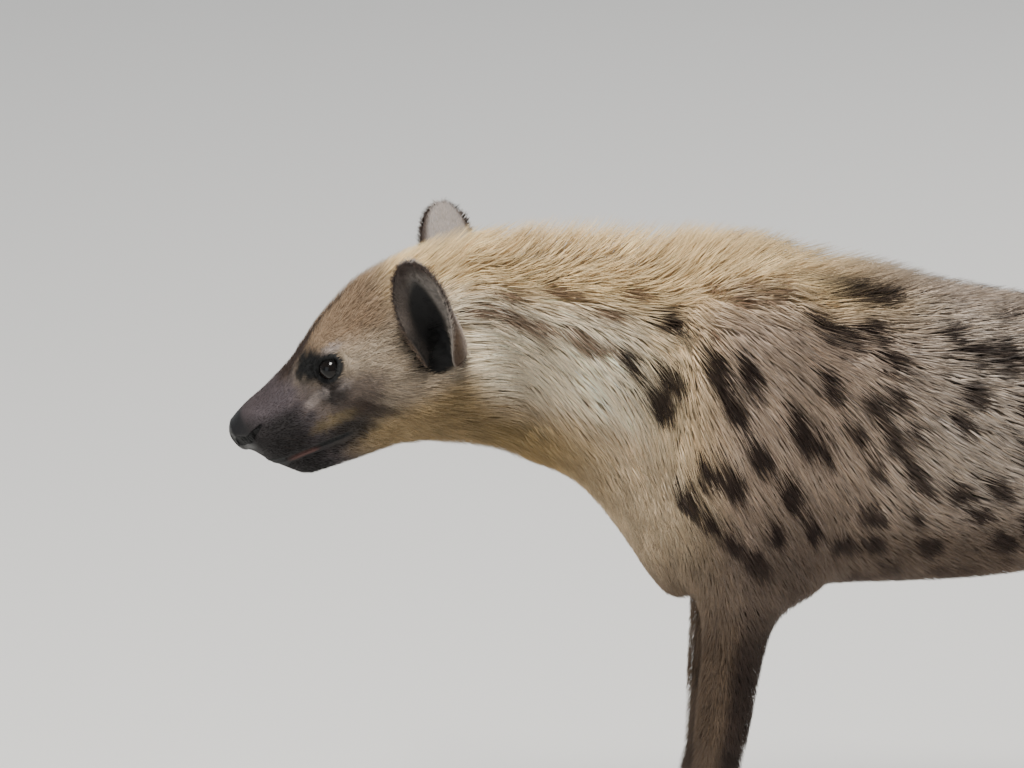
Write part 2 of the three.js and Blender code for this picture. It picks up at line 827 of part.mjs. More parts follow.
function seededDraw(seed) {
  let state = seed;
  return () => {
    state = (state * 1664525 + 1013904223) % 4294967296;
    return state / 4294967296;
  };
}

const coreHeight = (point) => bodyField(point) + coreInset(point);

function outwardAt(point, height) {
  const slope = (direction) => height(point.clone().addScaledVector(direction, SLOPE_STEP))
    - height(point.clone().addScaledVector(direction, -SLOPE_STEP));
  return at(slope(at(1, 0, 0)), slope(at(0, 1, 0)), slope(UP)).normalize();
}

// Lie of the coat: back along the body, turning down the sides and over the haunch
const NECK_DROOP = 0.55;
const SHOULDER_DROOP = 0.95;
const FLANK_DROOP_LOSS = 0.72;
const HAUNCH_DROOP = 0.75;

function lieAt(point, outward) {
  const sideward = Math.sin(Math.min(roundBody(point), Math.PI / 2));
  const droop = lerp(NECK_DROOP, SHOULDER_DROOP, smoothstep(point.x, -180, 40))
    * (1 - FLANK_DROOP_LOSS * smoothstep(point.x, 60, 260))
    + HAUNCH_DROOP * smoothstep(point.x, 430, 640);
  const lie = at(1, 0, -droop * sideward * sideward);
  return lie.addScaledVector(outward, -lie.dot(outward)).normalize();
}

function lockGeometry({ root, outward, lie, length, width, tall, height }) {
  const rings = LOCK_STATIONS.map(({ along, wide, high }) => {
    const point = root.clone().addScaledVector(lie, along * length);
    const normal = outwardAt(point, height);
    point.addScaledVector(normal, -height(point));
    const across = new THREE.Vector3().crossVectors(normal, lie).normalize();
    point.addScaledVector(normal, along === 0 ? -LOCK_ROOT : high * tall - width * LOCK_THICKNESS);
    const half = wide * width / 2;
    return [
      point.clone().addScaledVector(across, half),
      point.clone().addScaledVector(normal, width * LOCK_THICKNESS),
      point.clone().addScaledVector(across, -half),
    ];
  });
  const tip = root.clone().addScaledVector(lie, length);
  const tipNormal = outwardAt(tip, height);
  tip.addScaledVector(tipNormal, tall - height(tip));
  return closedGeometry(rings, middleOf(rings[0]).addScaledVector(outward, -0.5), tip);
}

// Seeded unevenness of the locks: of their places, their turn and their sizes
const LOCK_SHIFT = 0.3;
const LOCK_TURN = 0.3;
const LENGTH_SPREAD = 0.25;
const WIDTH_SPREAD = 0.2;
const RISE_SPREAD = 0.14;

// Roots evenly spaced round the core in rows, each row shifted by half a step
function lockRows(height, planes, spacing, reachRound, draw) {
  const roots = [];
  planes.forEach((plane, row) => {
    const upward = plane.up.clone().addScaledVector(plane.facing, -plane.up.dot(plane.facing));
    upward.normalize();
    const sideways = new THREE.Vector3().crossVectors(plane.facing, upward);
    const mean = castTo(height, plane.centre, sideways, noInset);
    const step = spacing / mean;
    const count = Math.floor(reachRound / step);
    for (let k = -count; k <= count; k += 1) {
      const angle = (k + (row % 2) / 2 + LOCK_SHIFT * (draw() - 0.5)) * step;
      const direction = upward.clone().multiplyScalar(Math.cos(angle))
        .addScaledVector(sideways, Math.sin(angle));
      roots.push(castPoint(height, plane.centre, direction));
    }
  });
  return roots;
}

function lockFrom(root, draw, { length, width, height = coreHeight, lieOver = lieAt, rise }) {
  const outward = outwardAt(root, height);
  const lie = lieOver(root, outward);
  const turn = LOCK_TURN * (draw() - 0.5);
  lie.addScaledVector(new THREE.Vector3().crossVectors(outward, lie), turn).normalize();
  const tall = rise ?? coreInset(root.clone().addScaledVector(lie, length));
  return lockGeometry({
    root,
    outward,
    lie,
    height,
    length: length * (0.9 + LENGTH_SPREAD * draw()),
    width: width * (0.9 + WIDTH_SPREAD * draw()),
    tall: tall * (0.88 + RISE_SPREAD * draw()),
  });
}

const NECK_LOCK = { length: 90, width: 45 };
const NECK_SPACING = 52;
const NECK_ROWS = 5;
const MANE_LOCK = { length: 92, width: 34 };
const MANE_SPACING = 26;
const MANE_ROWS = 7;
const TRUNK_LOCK = { length: 112, width: 66 };
const TRUNK_SPACING = 74;
const TRUNK_ROWS = [3, 7];
const LOCKS_ROUND = THREE.MathUtils.degToRad(118);
const MANE_ROUND = THREE.MathUtils.degToRad(16);

function neckLocks() {
  const draw = seededDraw(13);
  const rear = stepAside(neckTrunkPlane, 30);
  const front = stepAside(headNeckPlane, -12);
  const sides = lockRows(coreHeight, planesBetween(front, rear, NECK_ROWS), NECK_SPACING,
    LOCKS_ROUND, draw)
    .map((root) => lockFrom(root, draw, NECK_LOCK));
  const crest = lockRows(coreHeight, planesBetween(front, rear, MANE_ROWS), MANE_SPACING,
    MANE_ROUND, draw)
    .map((root) => lockFrom(root, draw, MANE_LOCK));
  return [...sides, ...crest];
}

function trunkLocks() {
  const draw = seededDraw(23);
  const front = stepAside(neckTrunkPlane, -14);
  const barrel = { centre: at(100, 0, 620), facing: FORWARD, up: UP };
  const rear = { centre: at(RUMP_X - 60, 0, 605), facing: FORWARD, up: UP };
  const planes = [
    ...planesBetween(front, barrel, TRUNK_ROWS[0]),
    ...planesBetween(barrel, rear, TRUNK_ROWS[1]).slice(1),
  ];
  return lockRows(coreHeight, planes, TRUNK_SPACING, LOCKS_ROUND, draw)
    .map((root) => lockFrom(root, draw, TRUNK_LOCK));
}

const TAIL_LOCK = { length: 88, width: 28 };
const TAIL_SPACING = 23;
const TAIL_ROWS = 3;
const TAIL_LOCK_RISE = 9;
const BRUSH_START = 0.36;
const TAIL_ROUND = Math.PI - 0.5;

function tailLocks() {
  const draw = seededDraw(37);
  const height = (point) => heightOver(dock, point);
  const lieDown = (point, outward) => dock.axis.clone()
    .addScaledVector(outward, -dock.axis.dot(outward)).normalize();
  const planeAt = (share) => ({
    centre: dock.from.clone().addScaledVector(dock.axis, share * dock.length),
    facing: dock.axis,
    up: dock.upward,
  });
  const planes = planesBetween(planeAt(BRUSH_START), planeAt(1), TAIL_ROWS);
  const size = { ...TAIL_LOCK, height, lieOver: lieDown, rise: TAIL_LOCK_RISE };
  return lockRows(height, planes, TAIL_SPACING, TAIL_ROUND, draw)
    .map((root) => lockFrom(root, draw, size));
}

// Colours
const COAT = { color: 0x9a866c, roughness: 0.9, metalness: 0 };
const PALE = { color: 0xb5a487, roughness: 0.9, metalness: 0 };
const DARK = { color: 0x3b302a, roughness: 0.85, metalness: 0 };
const LEG = { color: 0x5c4b3d, roughness: 0.88, metalness: 0 };
const LEATHER = { color: 0x1c1818, roughness: 0.45, metalness: 0 };
const EYE = { color: 0x24150d, roughness: 0.08, metalness: 0 };

const group = new THREE.Group();

function addNode(name, shape, look) {
  const geometry = shape instanceof THREE.BufferGeometry ? shape : geometryOf(shape);
  const mesh = new THREE.Mesh(geometry, new THREE.MeshStandardMaterial(look));
  mesh.name = name;
  group.add(mesh);
}

function buildHead() {
  const shell = headShell();
  const nose = loftGeometry(nosePad, 3, 16, BLUNT_END);
  const eyes = SIDES.map(([side]) => eyeGeometry(eyeCentre(side), EYE_RADIUS));
  const lids = SIDES.map(([side]) => lidGeometry(side));
  let head = fused([shell, ...lids]);
  const jawSolid = largest(head.intersect(solidOf(jawBlock(0, 0))));
  head = head.subtract(solidOf(jawBlock(GAP, LIP_OPENING)));
  head = head.subtract(solidOf(inflated(nose)));
  for (const [side] of SIDES) {
    head = head.subtract(solidOf(eyeGeometry(eyeCentre(side), EYE_RADIUS + GAP)));
  }
  head = largest(head);
  addNode('head', head, COAT);
  addNode('lower_jaw', jawSolid, COAT);
  let noseSolid = solidOf(nose);
  for (const [side] of SIDES) {
    noseSolid = noseSolid.subtract(solidOf(loftGeometry(nostril(side), 3, 6, BLUNT_END)));
  }
  addNode('nose', largest(noseSolid), LEATHER);
  SIDES.forEach(([, word], i) => addNode(`eye_${word}`, solidOf(eyes[i]), EYE));
  const clearance = fused([headShell(GAP), neckGeometry(GAP)]);
  return SIDES.map(([side, word]) => {
    const ear = earGeometry(side);
    addNode(`ear_${word}`, largest(solidOf(ear).subtract(clearance)), DARK);
    return solidOf(inflated(ear, EAR_ROOM));
  });
}

function buildLegs(trunkClear) {
  const clearances = [];
  for (const [side, word] of SIDES) {
    const fore = forelegParts(side);
    const hind = hindlegParts(side);
    const limbs = [
      [`foreleg_${word}`, `forepaw_${word}`, fore, [11, 6], 1],
      [`hindleg_${word}`, `hindpaw_${word}`, hind, [5, 9, 6], 0.9],
    ];
    for (const [legName, pawName, limb, ringsPerBone, scale] of limbs) {
      const geometry = legGeometry(limb, ringsPerBone, LEG_SIDES);
      const legClear = solidOf(legGeometry(limb, ringsPerBone, LEG_SIDES, GAP));
      const leg = largest(solidOf(geometry).subtract(trunkClear));
      const paw = largest(pawSolid(limb.ankle, scale).subtract(legClear));
      addNode(legName, leg, LEG);
      addNode(pawName, paw, DARK);
      clearances.push(legClear);
    }
  }
  return clearances;
}

const earClearances = buildHead();
// The half of space behind a plane, and the half before it
function halfSpace(plane, distance, ahead) {
  const box = new THREE.BoxGeometry(AWAY, AWAY, AWAY);
  const turn = new THREE.Quaternion().setFromUnitVectors(at(1, 0, 0), plane.facing);
  const offset = distance + (ahead ? AWAY / 2 : -AWAY / 2);
  const centre = plane.centre.clone().addScaledVector(plane.facing, offset);
  return solidOf(box.applyQuaternion(turn).translate(centre.x, centre.y, centre.z));
}

function buildNeck(clearances) {
  let locks = fused(neckLocks());
  for (const clearance of clearances) locks = locks.subtract(clearance);
  locks = locks.intersect(halfSpace(headNeckPlane, -LOCK_TRIM, false));
  locks = locks.intersect(halfSpace(neckTrunkPlane, LOCK_TRIM, true));
  addNode('neck', largest(solidOf(neckGeometry()).add(locks)), PALE);
}

function buildTrunk(clearances) {
  let locks = fused(trunkLocks());
  locks = locks.intersect(halfSpace(neckTrunkPlane, -LOCK_TRIM, false));
  for (const clearance of clearances) locks = locks.subtract(clearance);
  addNode('torso', largest(solidOf(trunkGeometry()).add(locks)), COAT);
}

buildNeck(earClearances);
const trunkClear = solidOf(trunkGeometry(GAP));
const legClearances = buildLegs(trunkClear);
const tailShape = loftGeometry(dock, 6, 10);
buildTrunk([...legClearances, solidOf(inflated(tailShape, TAIL_LOCK_RISE + TAIL_ROOM))]);
addNode('tail', largest(fused([tailShape, ...tailLocks()]).subtract(trunkClear)), DARK);

const middle = new THREE.Box3().setFromObject(group).getCenter(new THREE.Vector3());
group.position.set(-middle.x, -middle.y, 0);

export default group;
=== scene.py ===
import math

import bmesh
import bpy
import numpy as np
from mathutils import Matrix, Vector


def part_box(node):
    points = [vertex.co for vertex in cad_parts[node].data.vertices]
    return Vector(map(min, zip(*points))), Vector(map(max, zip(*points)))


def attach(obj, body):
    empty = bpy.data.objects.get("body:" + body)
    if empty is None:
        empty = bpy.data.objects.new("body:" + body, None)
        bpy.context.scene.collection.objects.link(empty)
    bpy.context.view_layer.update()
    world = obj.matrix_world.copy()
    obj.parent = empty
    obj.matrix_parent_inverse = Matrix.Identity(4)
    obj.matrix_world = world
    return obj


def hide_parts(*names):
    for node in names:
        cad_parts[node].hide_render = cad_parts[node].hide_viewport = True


# A standing spotted hyena. The anatomy is in millimetres in the animal's own frame, nose to
# -X, left side to -Y, floor at z = 0, and is moved to the frame's place when meshes are made.
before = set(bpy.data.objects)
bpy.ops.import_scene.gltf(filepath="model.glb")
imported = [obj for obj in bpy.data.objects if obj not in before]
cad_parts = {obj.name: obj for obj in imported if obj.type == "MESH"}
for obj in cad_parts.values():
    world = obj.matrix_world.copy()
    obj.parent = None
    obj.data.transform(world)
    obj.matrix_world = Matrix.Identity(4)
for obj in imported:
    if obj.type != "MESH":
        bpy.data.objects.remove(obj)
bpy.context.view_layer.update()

MM = 0.001
WITHERS = 806
CROUP = 690
CHEST_FLOOR = 436
TRUNK_LENGTH = 720
NECK_LENGTH = 300
HEAD_LENGTH = 302
SPINE_HEIGHT = 640
NECK_SLOPE = 0.258
BACK_SLOPE = 0.056
HEAD_PITCH = math.radians(-30.3)
HEAD_YAW = math.radians(6)
EYE_RADIUS = 13.0
EAR_HEIGHT = 118.0
SEED = 20

LEFT = -1
RIGHT = 1
SIDES = ((LEFT, "left"), (RIGHT, "right"))
UP = np.array([0.0, 0.0, 1.0])
FORWARD = np.array([-1.0, 0.0, 0.0])
FAR = 120.0
BOX_MARGIN = 62.0


# Small helpers on arrays
def lerp(a, b, share):
    return a + (b - a) * share


def smooth(value, low, high):
    share = np.clip((value - low) / (high - low), 0.0, 1.0)
    return share * share * (3.0 - 2.0 * share)


def bell(value, width, other=0.0, other_width=1.0):
    """1 in the middle, falling to almost nothing at twice the width; in two directions if wished."""
    return np.exp(-((value / width) ** 2) - ((other / other_width) ** 2))


def unit(vectors):
    length = np.linalg.norm(vectors, axis=-1, keepdims=True)
    return vectors / np.maximum(length, 1e-9)


def dot(a, b):
    return np.sum(a * b, axis=-1)


def flatten_to(vectors, normals):
    return unit(vectors - normals * dot(vectors, normals)[..., None])


def waves(points, size, seed):
    """A smooth pattern between about -1 and 1 whose blobs are `size` across."""
    draw = np.random.default_rng(seed)
    total = np.zeros(len(points))
    for octave in range(6):
        direction = unit(draw.normal(size=3))
        phase = draw.uniform(0, 2 * math.pi)
        pitch = draw.uniform(0.75, 1.35) * 2 * math.pi / size
        total += np.sin(points @ direction * pitch + phase + 1.3 * np.sin(total))
    return total / 3.0


# Lofts: stations along a straight axis, with the reach up, down and to the side
def hermite(stations, shares):
    stations = np.array(stations, float)
    places = stations[:, 0]
    columns = []
    for column in stations[:, 1:].T:
        slopes = np.empty(len(places))
        slopes[1:-1] = (column[2:] - column[:-2]) / (places[2:] - places[:-2])
        slopes[0] = (column[1] - column[0]) / (places[1] - places[0])
        slopes[-1] = (column[-1] - column[-2]) / (places[-1] - places[-2])
        i = np.clip(np.searchsorted(places, shares, side="right") - 1, 0, len(places) - 2)
        span = places[i + 1] - places[i]
        t = np.clip((shares - places[i]) / span, 0.0, 1.0)
        columns.append(
            (1 + 2 * t) * (1 - t) ** 2 * column[i]
            + t * t * (3 - 2 * t) * column[i + 1]
            + t * (1 - t) ** 2 * span * slopes[i]
            - t * t * (1 - t) * span * slopes[i + 1]
        )
    return np.array(columns)


TABLE_SHARES = np.linspace(0.0, 1.0, 161)


def loft(start, end, up, stations, caps, square=2.0):
    start = np.array(start, float)
    end = np.array(end, float)
    length = np.linalg.norm(end - start)
    axis = (end - start) / length
    upward = unit(np.array(up, float) - axis * np.dot(up, axis))
    reach = hermite(stations, TABLE_SHARES)
    room = float(reach.max()) + max(caps) * 0.5 + BOX_MARGIN
    return {
        "start": start,
        "axis": axis,
        "length": length,
        "upward": upward,
        "sideways": np.cross(axis, upward),
        "reach": reach,
        "caps": caps,
        "square": square,
        "low": np.minimum(start, end) - room,
        "high": np.maximum(start, end) + room,
    }


def height_over(shape, points):
    offset = points - shape["start"]
    along = offset @ shape["axis"]
    held = np.clip(along, 0.0, shape["length"])
    beyond = along - held
    rise = offset @ shape["upward"]
    aside = offset @ shape["sideways"]
    share = held / shape["length"]
    up_reach, down_reach, side_reach = (
        np.interp(share, TABLE_SHARES, column) for column in shape["reach"]
    )
    power = shape["square"]
    tall = np.abs(rise) / np.where(rise > 0, up_reach, down_reach)
    across = np.abs(aside) / side_reach
    cap = np.where(beyond < 0, shape["caps"][0], shape["caps"][1])
    ratio = np.sqrt((tall**power + across**power) ** (2 / power) + (beyond / cap) ** 2)
    size = np.sqrt(rise**2 + aside**2 + beyond**2)
    return np.where(ratio < 1e-3, -side_reach, size * (1 - 1 / np.maximum(ratio, 1e-3)))


def blend(a, b, width):
    if width <= 0:
        return np.minimum(a, b)
    overlap = np.maximum(width - np.abs(a - b), 0.0) / width
    return np.minimum(a, b) - overlap * overlap * width / 4


def carve(a, b, width):
    return -blend(-a, b, width)


def in_box(points, shape):
    return np.all((points > shape["low"]) & (points < shape["high"]), axis=1)


def field(parts, points):
    """Height over the joined lofts, each worked out only where it matters."""
    height = np.full(len(points), FAR)
    for shape, softness in parts:
        near = in_box(points, shape)
        height[near] = blend(height[near], height_over(shape, points[near]), softness)
    return height


# The head's own frame: t along the face, v up from its axis, w towards the right
HEAD_BASE = np.array([-265.0, 0.0, 735.0])
head_forward = np.array([
    -math.cos(HEAD_PITCH) * math.cos(HEAD_YAW),
    math.cos(HEAD_PITCH) * math.sin(HEAD_YAW),
    math.sin(HEAD_PITCH),
])
head_right = np.array([math.sin(HEAD_YAW), math.cos(HEAD_YAW), 0.0])
head_up = np.cross(head_right, head_forward)


def on_head(t, v, w=0.0):
    return HEAD_BASE + t * head_forward + v * head_up + w * head_right


def in_head(points):
    offset = points - HEAD_BASE
    return offset @ head_forward, offset @ head_up, offset @ head_right


# Trunk, neck and the masses of shoulder and thigh
RUMP_X = 690
trunk = loft(
    (RUMP_X, 0, 600), (RUMP_X - TRUNK_LENGTH, 0, SPINE_HEIGHT), UP,
    [
        [0.00, 66, 80, 76],
        [0.10, CROUP - 604, 112, 104],
        [0.25, 99, 142, 120],
        [0.42, 112, 168, 129],
        [0.58, 127, 186, 136],
        [0.75, 150, 630 - CHEST_FLOOR, 138],
        [0.90, 167, 636 - CHEST_FLOOR, 136],
        [1.00, WITHERS - SPINE_HEIGHT, 196, 128],
    ],
    (38, 60), 2.15,
)

neck = loft(
    (0, 0, SPINE_HEIGHT), (-0.968 * NECK_LENGTH, 0, SPINE_HEIGHT + 0.25 * NECK_LENGTH), UP,
    [
        [0.00, 150, 205, 126],
        [0.22, 159, 159, 115],
        [0.43, 163, 120, 103],
        [0.68, 149, 109, 95],
        [0.90, 128, 109, 93],
        [1.00, 113, 104, 90],
    ],
    (60, 30),
)


def shoulder(side):
    return loft(
        (15, side * 78, 745), (42, side * 90, 470), FORWARD,
        [[0, 60, 70, 36], [0.35, 82, 86, 48], [0.7, 76, 70, 48], [1, 58, 60, 42]],
        (50, 30),
    )


def thigh(side):
    return loft(
        (622, side * 66, 615), (530, side * 84, 405), FORWARD,
        [[0, 92, 72, 46], [0.4, 100, 88, 50], [0.75, 72, 72, 45], [1, 50, 52, 38]],
        (45, 28),
    )


# Head: skull and muzzle in one loft, with the jaw, lips and brow blended in
HEAD_START = -30
skull = loft(
    on_head(HEAD_START, 0), on_head(HEAD_START + 0.967 * HEAD_LENGTH, 0), head_up,
    [
        [0.000, 84, 98, 85],
        [0.171, 93, 101, 93],
        [0.377, 91, 90, 93],
        [0.548, 74, 79, 72],
        [0.685, 53, 71, 53],
        [0.822, 39, 60, 44],
        [0.925, 31.5, 47, 40],
        [1.000, 24, 27, 31],
    ],
    (40, 9),
)
jaw = loft(
    on_head(50, -63), on_head(238, -45), head_up,
    [[0, 24, 29, 48], [0.5, 22, 22, 36], [0.85, 18, 18, 29], [1, 15, 15, 24]],
    (30, 16),
)


def upper_lip(side):
    return loft(
        on_head(165, -22, side * 24), on_head(246, -7, side * 17), head_up,
        [[0, 22, 26, 24], [0.6, 20, 21, 22], [1, 15, 14, 17]],
        (20, 11),
    )


def brow_ridge(side):
    return loft(
        on_head(118, 46, side * 36), on_head(160, 38, side * 32), head_up,
        [[0, 20, 20, 20], [0.5, 18, 18, 20], [1, 13, 14, 15]],
        (14, 14),
    )


# Legs, each a chain of lofts down to the foot
CARPUS_HEIGHT = 197
HOCK_HEIGHT = 208
ANKLE_HEIGHT = 58
FORE_STEP = {LEFT: -8, RIGHT: 12}


def foreleg(side):
    step = FORE_STEP[side]
    elbow = (22 + step / 4, side * 92, 520)
    carpus = (-10 + step, side * 84, CARPUS_HEIGHT)
    ankle = (-24 + step, side * 82, ANKLE_HEIGHT)
    forearm = loft(elbow, carpus, FORWARD, [
        [0, 60, 60, 44], [0.18, 48, 50, 41], [0.37, 35, 37, 34],
        [0.62, 31, 32, 30], [0.83, 28, 28, 27], [1, 27, 27, 27],
    ], (40, 22))
    pastern = loft(carpus, ankle, FORWARD, [
        [0, 26, 27, 26], [0.4, 24, 25, 25], [0.8, 25, 26, 29], [1, 27, 27, 31],
    ], (18, 18))
    return [(forearm, 34), (pastern, 20)], np.array(ankle, float), 1.0


def hindleg(side):
    hip = (600, side * 72, 560)
    knee = (530, side * 86, 408)
    hock = (641, side * 84, HOCK_HEIGHT)
    ankle = (614, side * 82, ANKLE_HEIGHT)
    upper = loft(hip, knee, FORWARD, [[0, 80, 74, 44], [0.5, 66, 66, 44], [1, 50, 52, 40]], (30, 28))
    shank = loft(knee, hock, FORWARD, [
        [0, 50, 50, 38], [0.35, 40, 42, 34], [0.7, 27, 31, 25], [1, 21, 26, 21],
    ], (25, 18))
    metatarsus = loft(hock, ankle, FORWARD, [
        [0, 22, 26, 22], [0.3, 20, 23, 21], [0.75, 21, 23, 25], [1, 24, 24, 29],
    ], (16, 15))
    return [(upper, 40), (shank, 40), (metatarsus, 18)], np.array(ankle, float), 0.9


# Feet
TOE_SPREAD = (-27, -9.5, 9.5, 27)
TOE_REACH = (0, 12, 12, 0)


def scaled(stations, scale):
    return [[row[0]] + [scale * reach for reach in row[1:]] for row in stations]


def foot_frame(ankle, scale):
    """Turns a place on a foot of full size into a place on this foot."""
    def place(x, y, z):
        return ankle[0] + scale * x, ankle[1] + scale * y, scale * z
    return place


def paw(ankle, scale):
    flat = foot_frame(ankle, scale)
    palm = loft(flat(16, 0, 34), flat(-32, 0, 25), UP,
                scaled([[0, 26, 36, 29], [0.5, 26, 34, 35], [1, 18, 29, 37]], scale),
                (14 * scale, 14 * scale))
    hub = loft((ankle[0], ankle[1], ANKLE_HEIGHT - 8), flat(-4, 0, 30), FORWARD,
               scaled([[0, 27, 27, 28], [1, 30, 26, 31]], scale), (10 * scale, 10 * scale))
    parts = [(palm, 14), (hub, 14)]
    for aside, reach in zip(TOE_SPREAD, TOE_REACH):
        toe = loft(flat(-30, aside * 0.82, 25), flat(-58 - reach, aside * 1.08, 13), UP,
                   scaled([[0, 15, 20, 11], [0.55, 15, 18, 11.5], [1, 10, 14, 9.5]], scale),
                   (10 * scale, 10 * scale))
        parts.append((toe, 5))
    return parts


def claws(ankle, scale):
    flat = foot_frame(ankle, scale)
    return [
        loft(flat(-60 - reach, aside * 1.09, 15), flat(-80 - reach, aside * 1.16, 7), UP,
             scaled([[0, 4.8, 4.6, 3.7], [0.5, 3.8, 3.6, 3], [1, 1.2, 1.4, 1.2]], scale),
             (3 * scale, 2 * scale))
        for aside, reach in zip(TOE_SPREAD, TOE_REACH)
    ]


# Tail: the thin dock under the brush
dock = loft(
    (700, 0, 640), (730, 0, 412), (1, 0, 0),
    [[0, 17, 17, 17], [0.3, 12, 12, 12], [0.65, 9, 9, 9], [1, 5, 5, 5]],
    (14, 10),
)

nose_pad = loft(
    on_head(238, 8), on_head(264, 5), head_up,
    [[0, 20, 20, 23], [0.6, 19, 22, 24], [1, 14, 17, 20]],
    (8, 8), 2.4,
)

limbs = {}
for limb_side, limb_word in SIDES:
    limbs["fore_" + limb_word] = foreleg(limb_side)
    limbs["hind_" + limb_word] = hindleg(limb_side)

outline_parts = [(trunk, 0), (neck, 70), (skull, 36), (jaw, 24)]
for make, softness in ((upper_lip, 14), (brow_ridge, 16), (shoulder, 45), (thigh, 50)):
    outline_parts += [(make(side), softness) for side, word in SIDES]
body_parts = list(outline_parts)
for limb_parts, limb_ankle, limb_scale in limbs.values():
    body_parts += limb_parts
    body_parts += paw(limb_ankle, limb_scale)


# Depth of the coat over the skin
MANE_DEPTH = 54
SIDE_DEPTH = 26
RUMP_DEPTH = 18
BELLY_DEPTH = 11
CREST_WIDTH = 0.36
LEG_DEPTHS = ([0, 40, 120, 250, 380, 470], [1.5, 3, 4.5, 6.5, 10, 14])
FACE_DEPTHS = ([-40, 0, 40, 80, 120, 170, 225, 246], [22, 17, 12, 8, 5, 2.8, 1.6, 0.3])


def axis_height(x):
    """Height of the line through the trunk and neck."""
    return SPINE_HEIGHT - x * np.where(x < 0, NECK_SLOPE, BACK_SLOPE)


def round_body(points):
    """Angle round the trunk and neck, from the spine down."""
    x, y, z = points.T
    return np.arctan2(np.abs(y), z - axis_height(x))


def face_share(points):
    t = in_head(points)[0]
    return smooth(t, -60, 30) * smooth(-points[:, 0], 190, 250)


def leg_share(points):
    return smooth(points[:, 2], 525, 400)


def crest_share(points):
    return bell(round_body(points), CREST_WIDTH)


def coat_depth(points):
    x = points[:, 0]
    around = round_body(points)
    side = lerp(SIDE_DEPTH, RUMP_DEPTH, smooth(x, 60, 600))
    side = side * lerp(1, 0.62, smooth(points[:, 2], 590, 450))
    ridge = (MANE_DEPTH - SIDE_DEPTH) * (1 - 0.62 * smooth(x, 0, 160))
    ridge = ridge * (1 - 0.8 * smooth(x, 160, 560))
    depth = lerp(side + ridge * crest_share(points), BELLY_DEPTH, smooth(around, 1.9, 2.5))
    face_depth = np.interp(in_head(points)[0], *FACE_DEPTHS)
    depth = lerp(depth, face_depth, face_share(points))
    return lerp(depth, np.interp(points[:, 2], *LEG_DEPTHS), leg_share(points))


def outline_height(points):
    return field(outline_parts, points)


def cast(height, start, direction, step=12.0):
    """Distance along a direction from inside to where the height is zero."""
    far = step
    while height((start + far * direction)[None])[0] < 0:
        far += step
    near = far - step
    for _ in range(24):
        middle = (near + far) / 2
        if height((start + middle * direction)[None])[0] < 0:
            near = middle
        else:
            far = middle
    return far


# Eyes, set into the outline as the solids have them
EYE_SET = 0.8 * EYE_RADIUS


def eye_centre(side):
    inside = on_head(136, 32)
    outward = side * head_right
    return inside + outward * (cast(outline_height, inside, outward) - EYE_SET)


def eye_axes(side):
    facing = unit(side * 0.92 * head_right + 0.33 * head_forward + 0.2 * head_up)
    level = flatten_to(head_forward[None] * 0.98 - 0.16 * head_up[None], facing[None])[0]
    return facing, level, np.cross(level, facing) * side


eyes = {side: eye_centre(side) for side, word in SIDES}
eye_box = np.array(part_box("eye_left"), float)
shift = eye_box.mean(axis=0) / MM - eyes[LEFT]
shift[2] = 0.0

# Opening of the lids, as half its length and half its height
LID_HALF_LENGTH = 12.6
LID_HALF_HEIGHT = 5.9
LID_DROP = 1.2
LID_THICKNESS = 2.6
LID_REACH = 40
LID_SOFTNESS = 7
LOWER_LID_SHARE = 0.86
# Crease and hood of the lids: distance from the eye's centre and width
LID_CREASE = (20, 2.2)
LID_HOOD = (24.5, 3.2)


def lids(points, height):
    for side, centre in eyes.items():
        offset = points - centre
        distance = np.linalg.norm(offset, axis=1)
        near = distance < LID_REACH
        if not near.any():
            continue
        facing, level, upright = eye_axes(side)
        local = offset[near]
        distance = distance[near]
        out = local @ facing
        length = local @ level
        tall = local @ upright + LID_DROP
        ball = distance - (EYE_RADIUS + LID_THICKNESS)
        lidded = blend(height[near], ball, LID_SOFTNESS)
        crease = bell(distance - LID_CREASE[0], LID_CREASE[1]) * (out > 0)
        lidded += lerp(0.8, 1.5, smooth(tall, 0, 8)) * crease
        hood = bell(distance - LID_HOOD[0], LID_HOOD[1]) * smooth(tall, 2, 12)
        lidded -= 1.3 * hood
        droop = np.where(tall > 0, 1.0, LOWER_LID_SHARE)
        almond = np.sqrt((length / LID_HALF_LENGTH) ** 2 + (tall / (LID_HALF_HEIGHT * droop)) ** 2)
        opening = np.maximum((almond - 1) * LID_HALF_HEIGHT, 3.0 - out)
        height[near] = carve(lidded, opening, 1.2)
    return height


# The line of the mouth, and the narrow slot along it
MOUTH = ([148, 178, 212, 240, 262], [-38, -36, -33, -31.5, -33])
MOUTH_CORNER = 138
MOUTH_DEPTH = 6
MOUTH_FRONT_DEPTH = 2.5
LIP_HALF_HEIGHT = 5.5
LIP_SWELL = 1.5


def above_mouth(t, v):
    return v - np.interp(t, *MOUTH)


def mouth(points, height):
    t, v, w = in_head(points)
    above = above_mouth(t, v)
    lip = bell(above, LIP_HALF_HEIGHT) * smooth(t, 146, 168) * LIP_SWELL
    height = height - lip
    gap = lerp(-1.5, 1.4, smooth(t, 144, 170))
    depth = lerp(MOUTH_DEPTH, MOUTH_FRONT_DEPTH, smooth(t, 222, 240))
    sheet = np.maximum(np.abs(above + 0.6) - gap, -(height + depth))
    return np.where(t > MOUTH_CORNER, carve(height, sheet, 1.6), height)


# Nostrils: a round hole in front that runs back round the side of the nose as a slit
NOSTRIL_HOLE = (272, 6, 17)
NOSTRIL_DEEP = (246, 3, 9)
NOSTRIL_LINE = ((261, 5, 5.4), (252, 3.5, 4.0), (243, 8, 2.8), (232, 12, 1.0))
# The groove under the nose, and the swelling over each nostril's side
GROOVE_DEPTH = 1.6
GROOVE_HALF_WIDTH = 1.6
WING_SWELL = 1.5


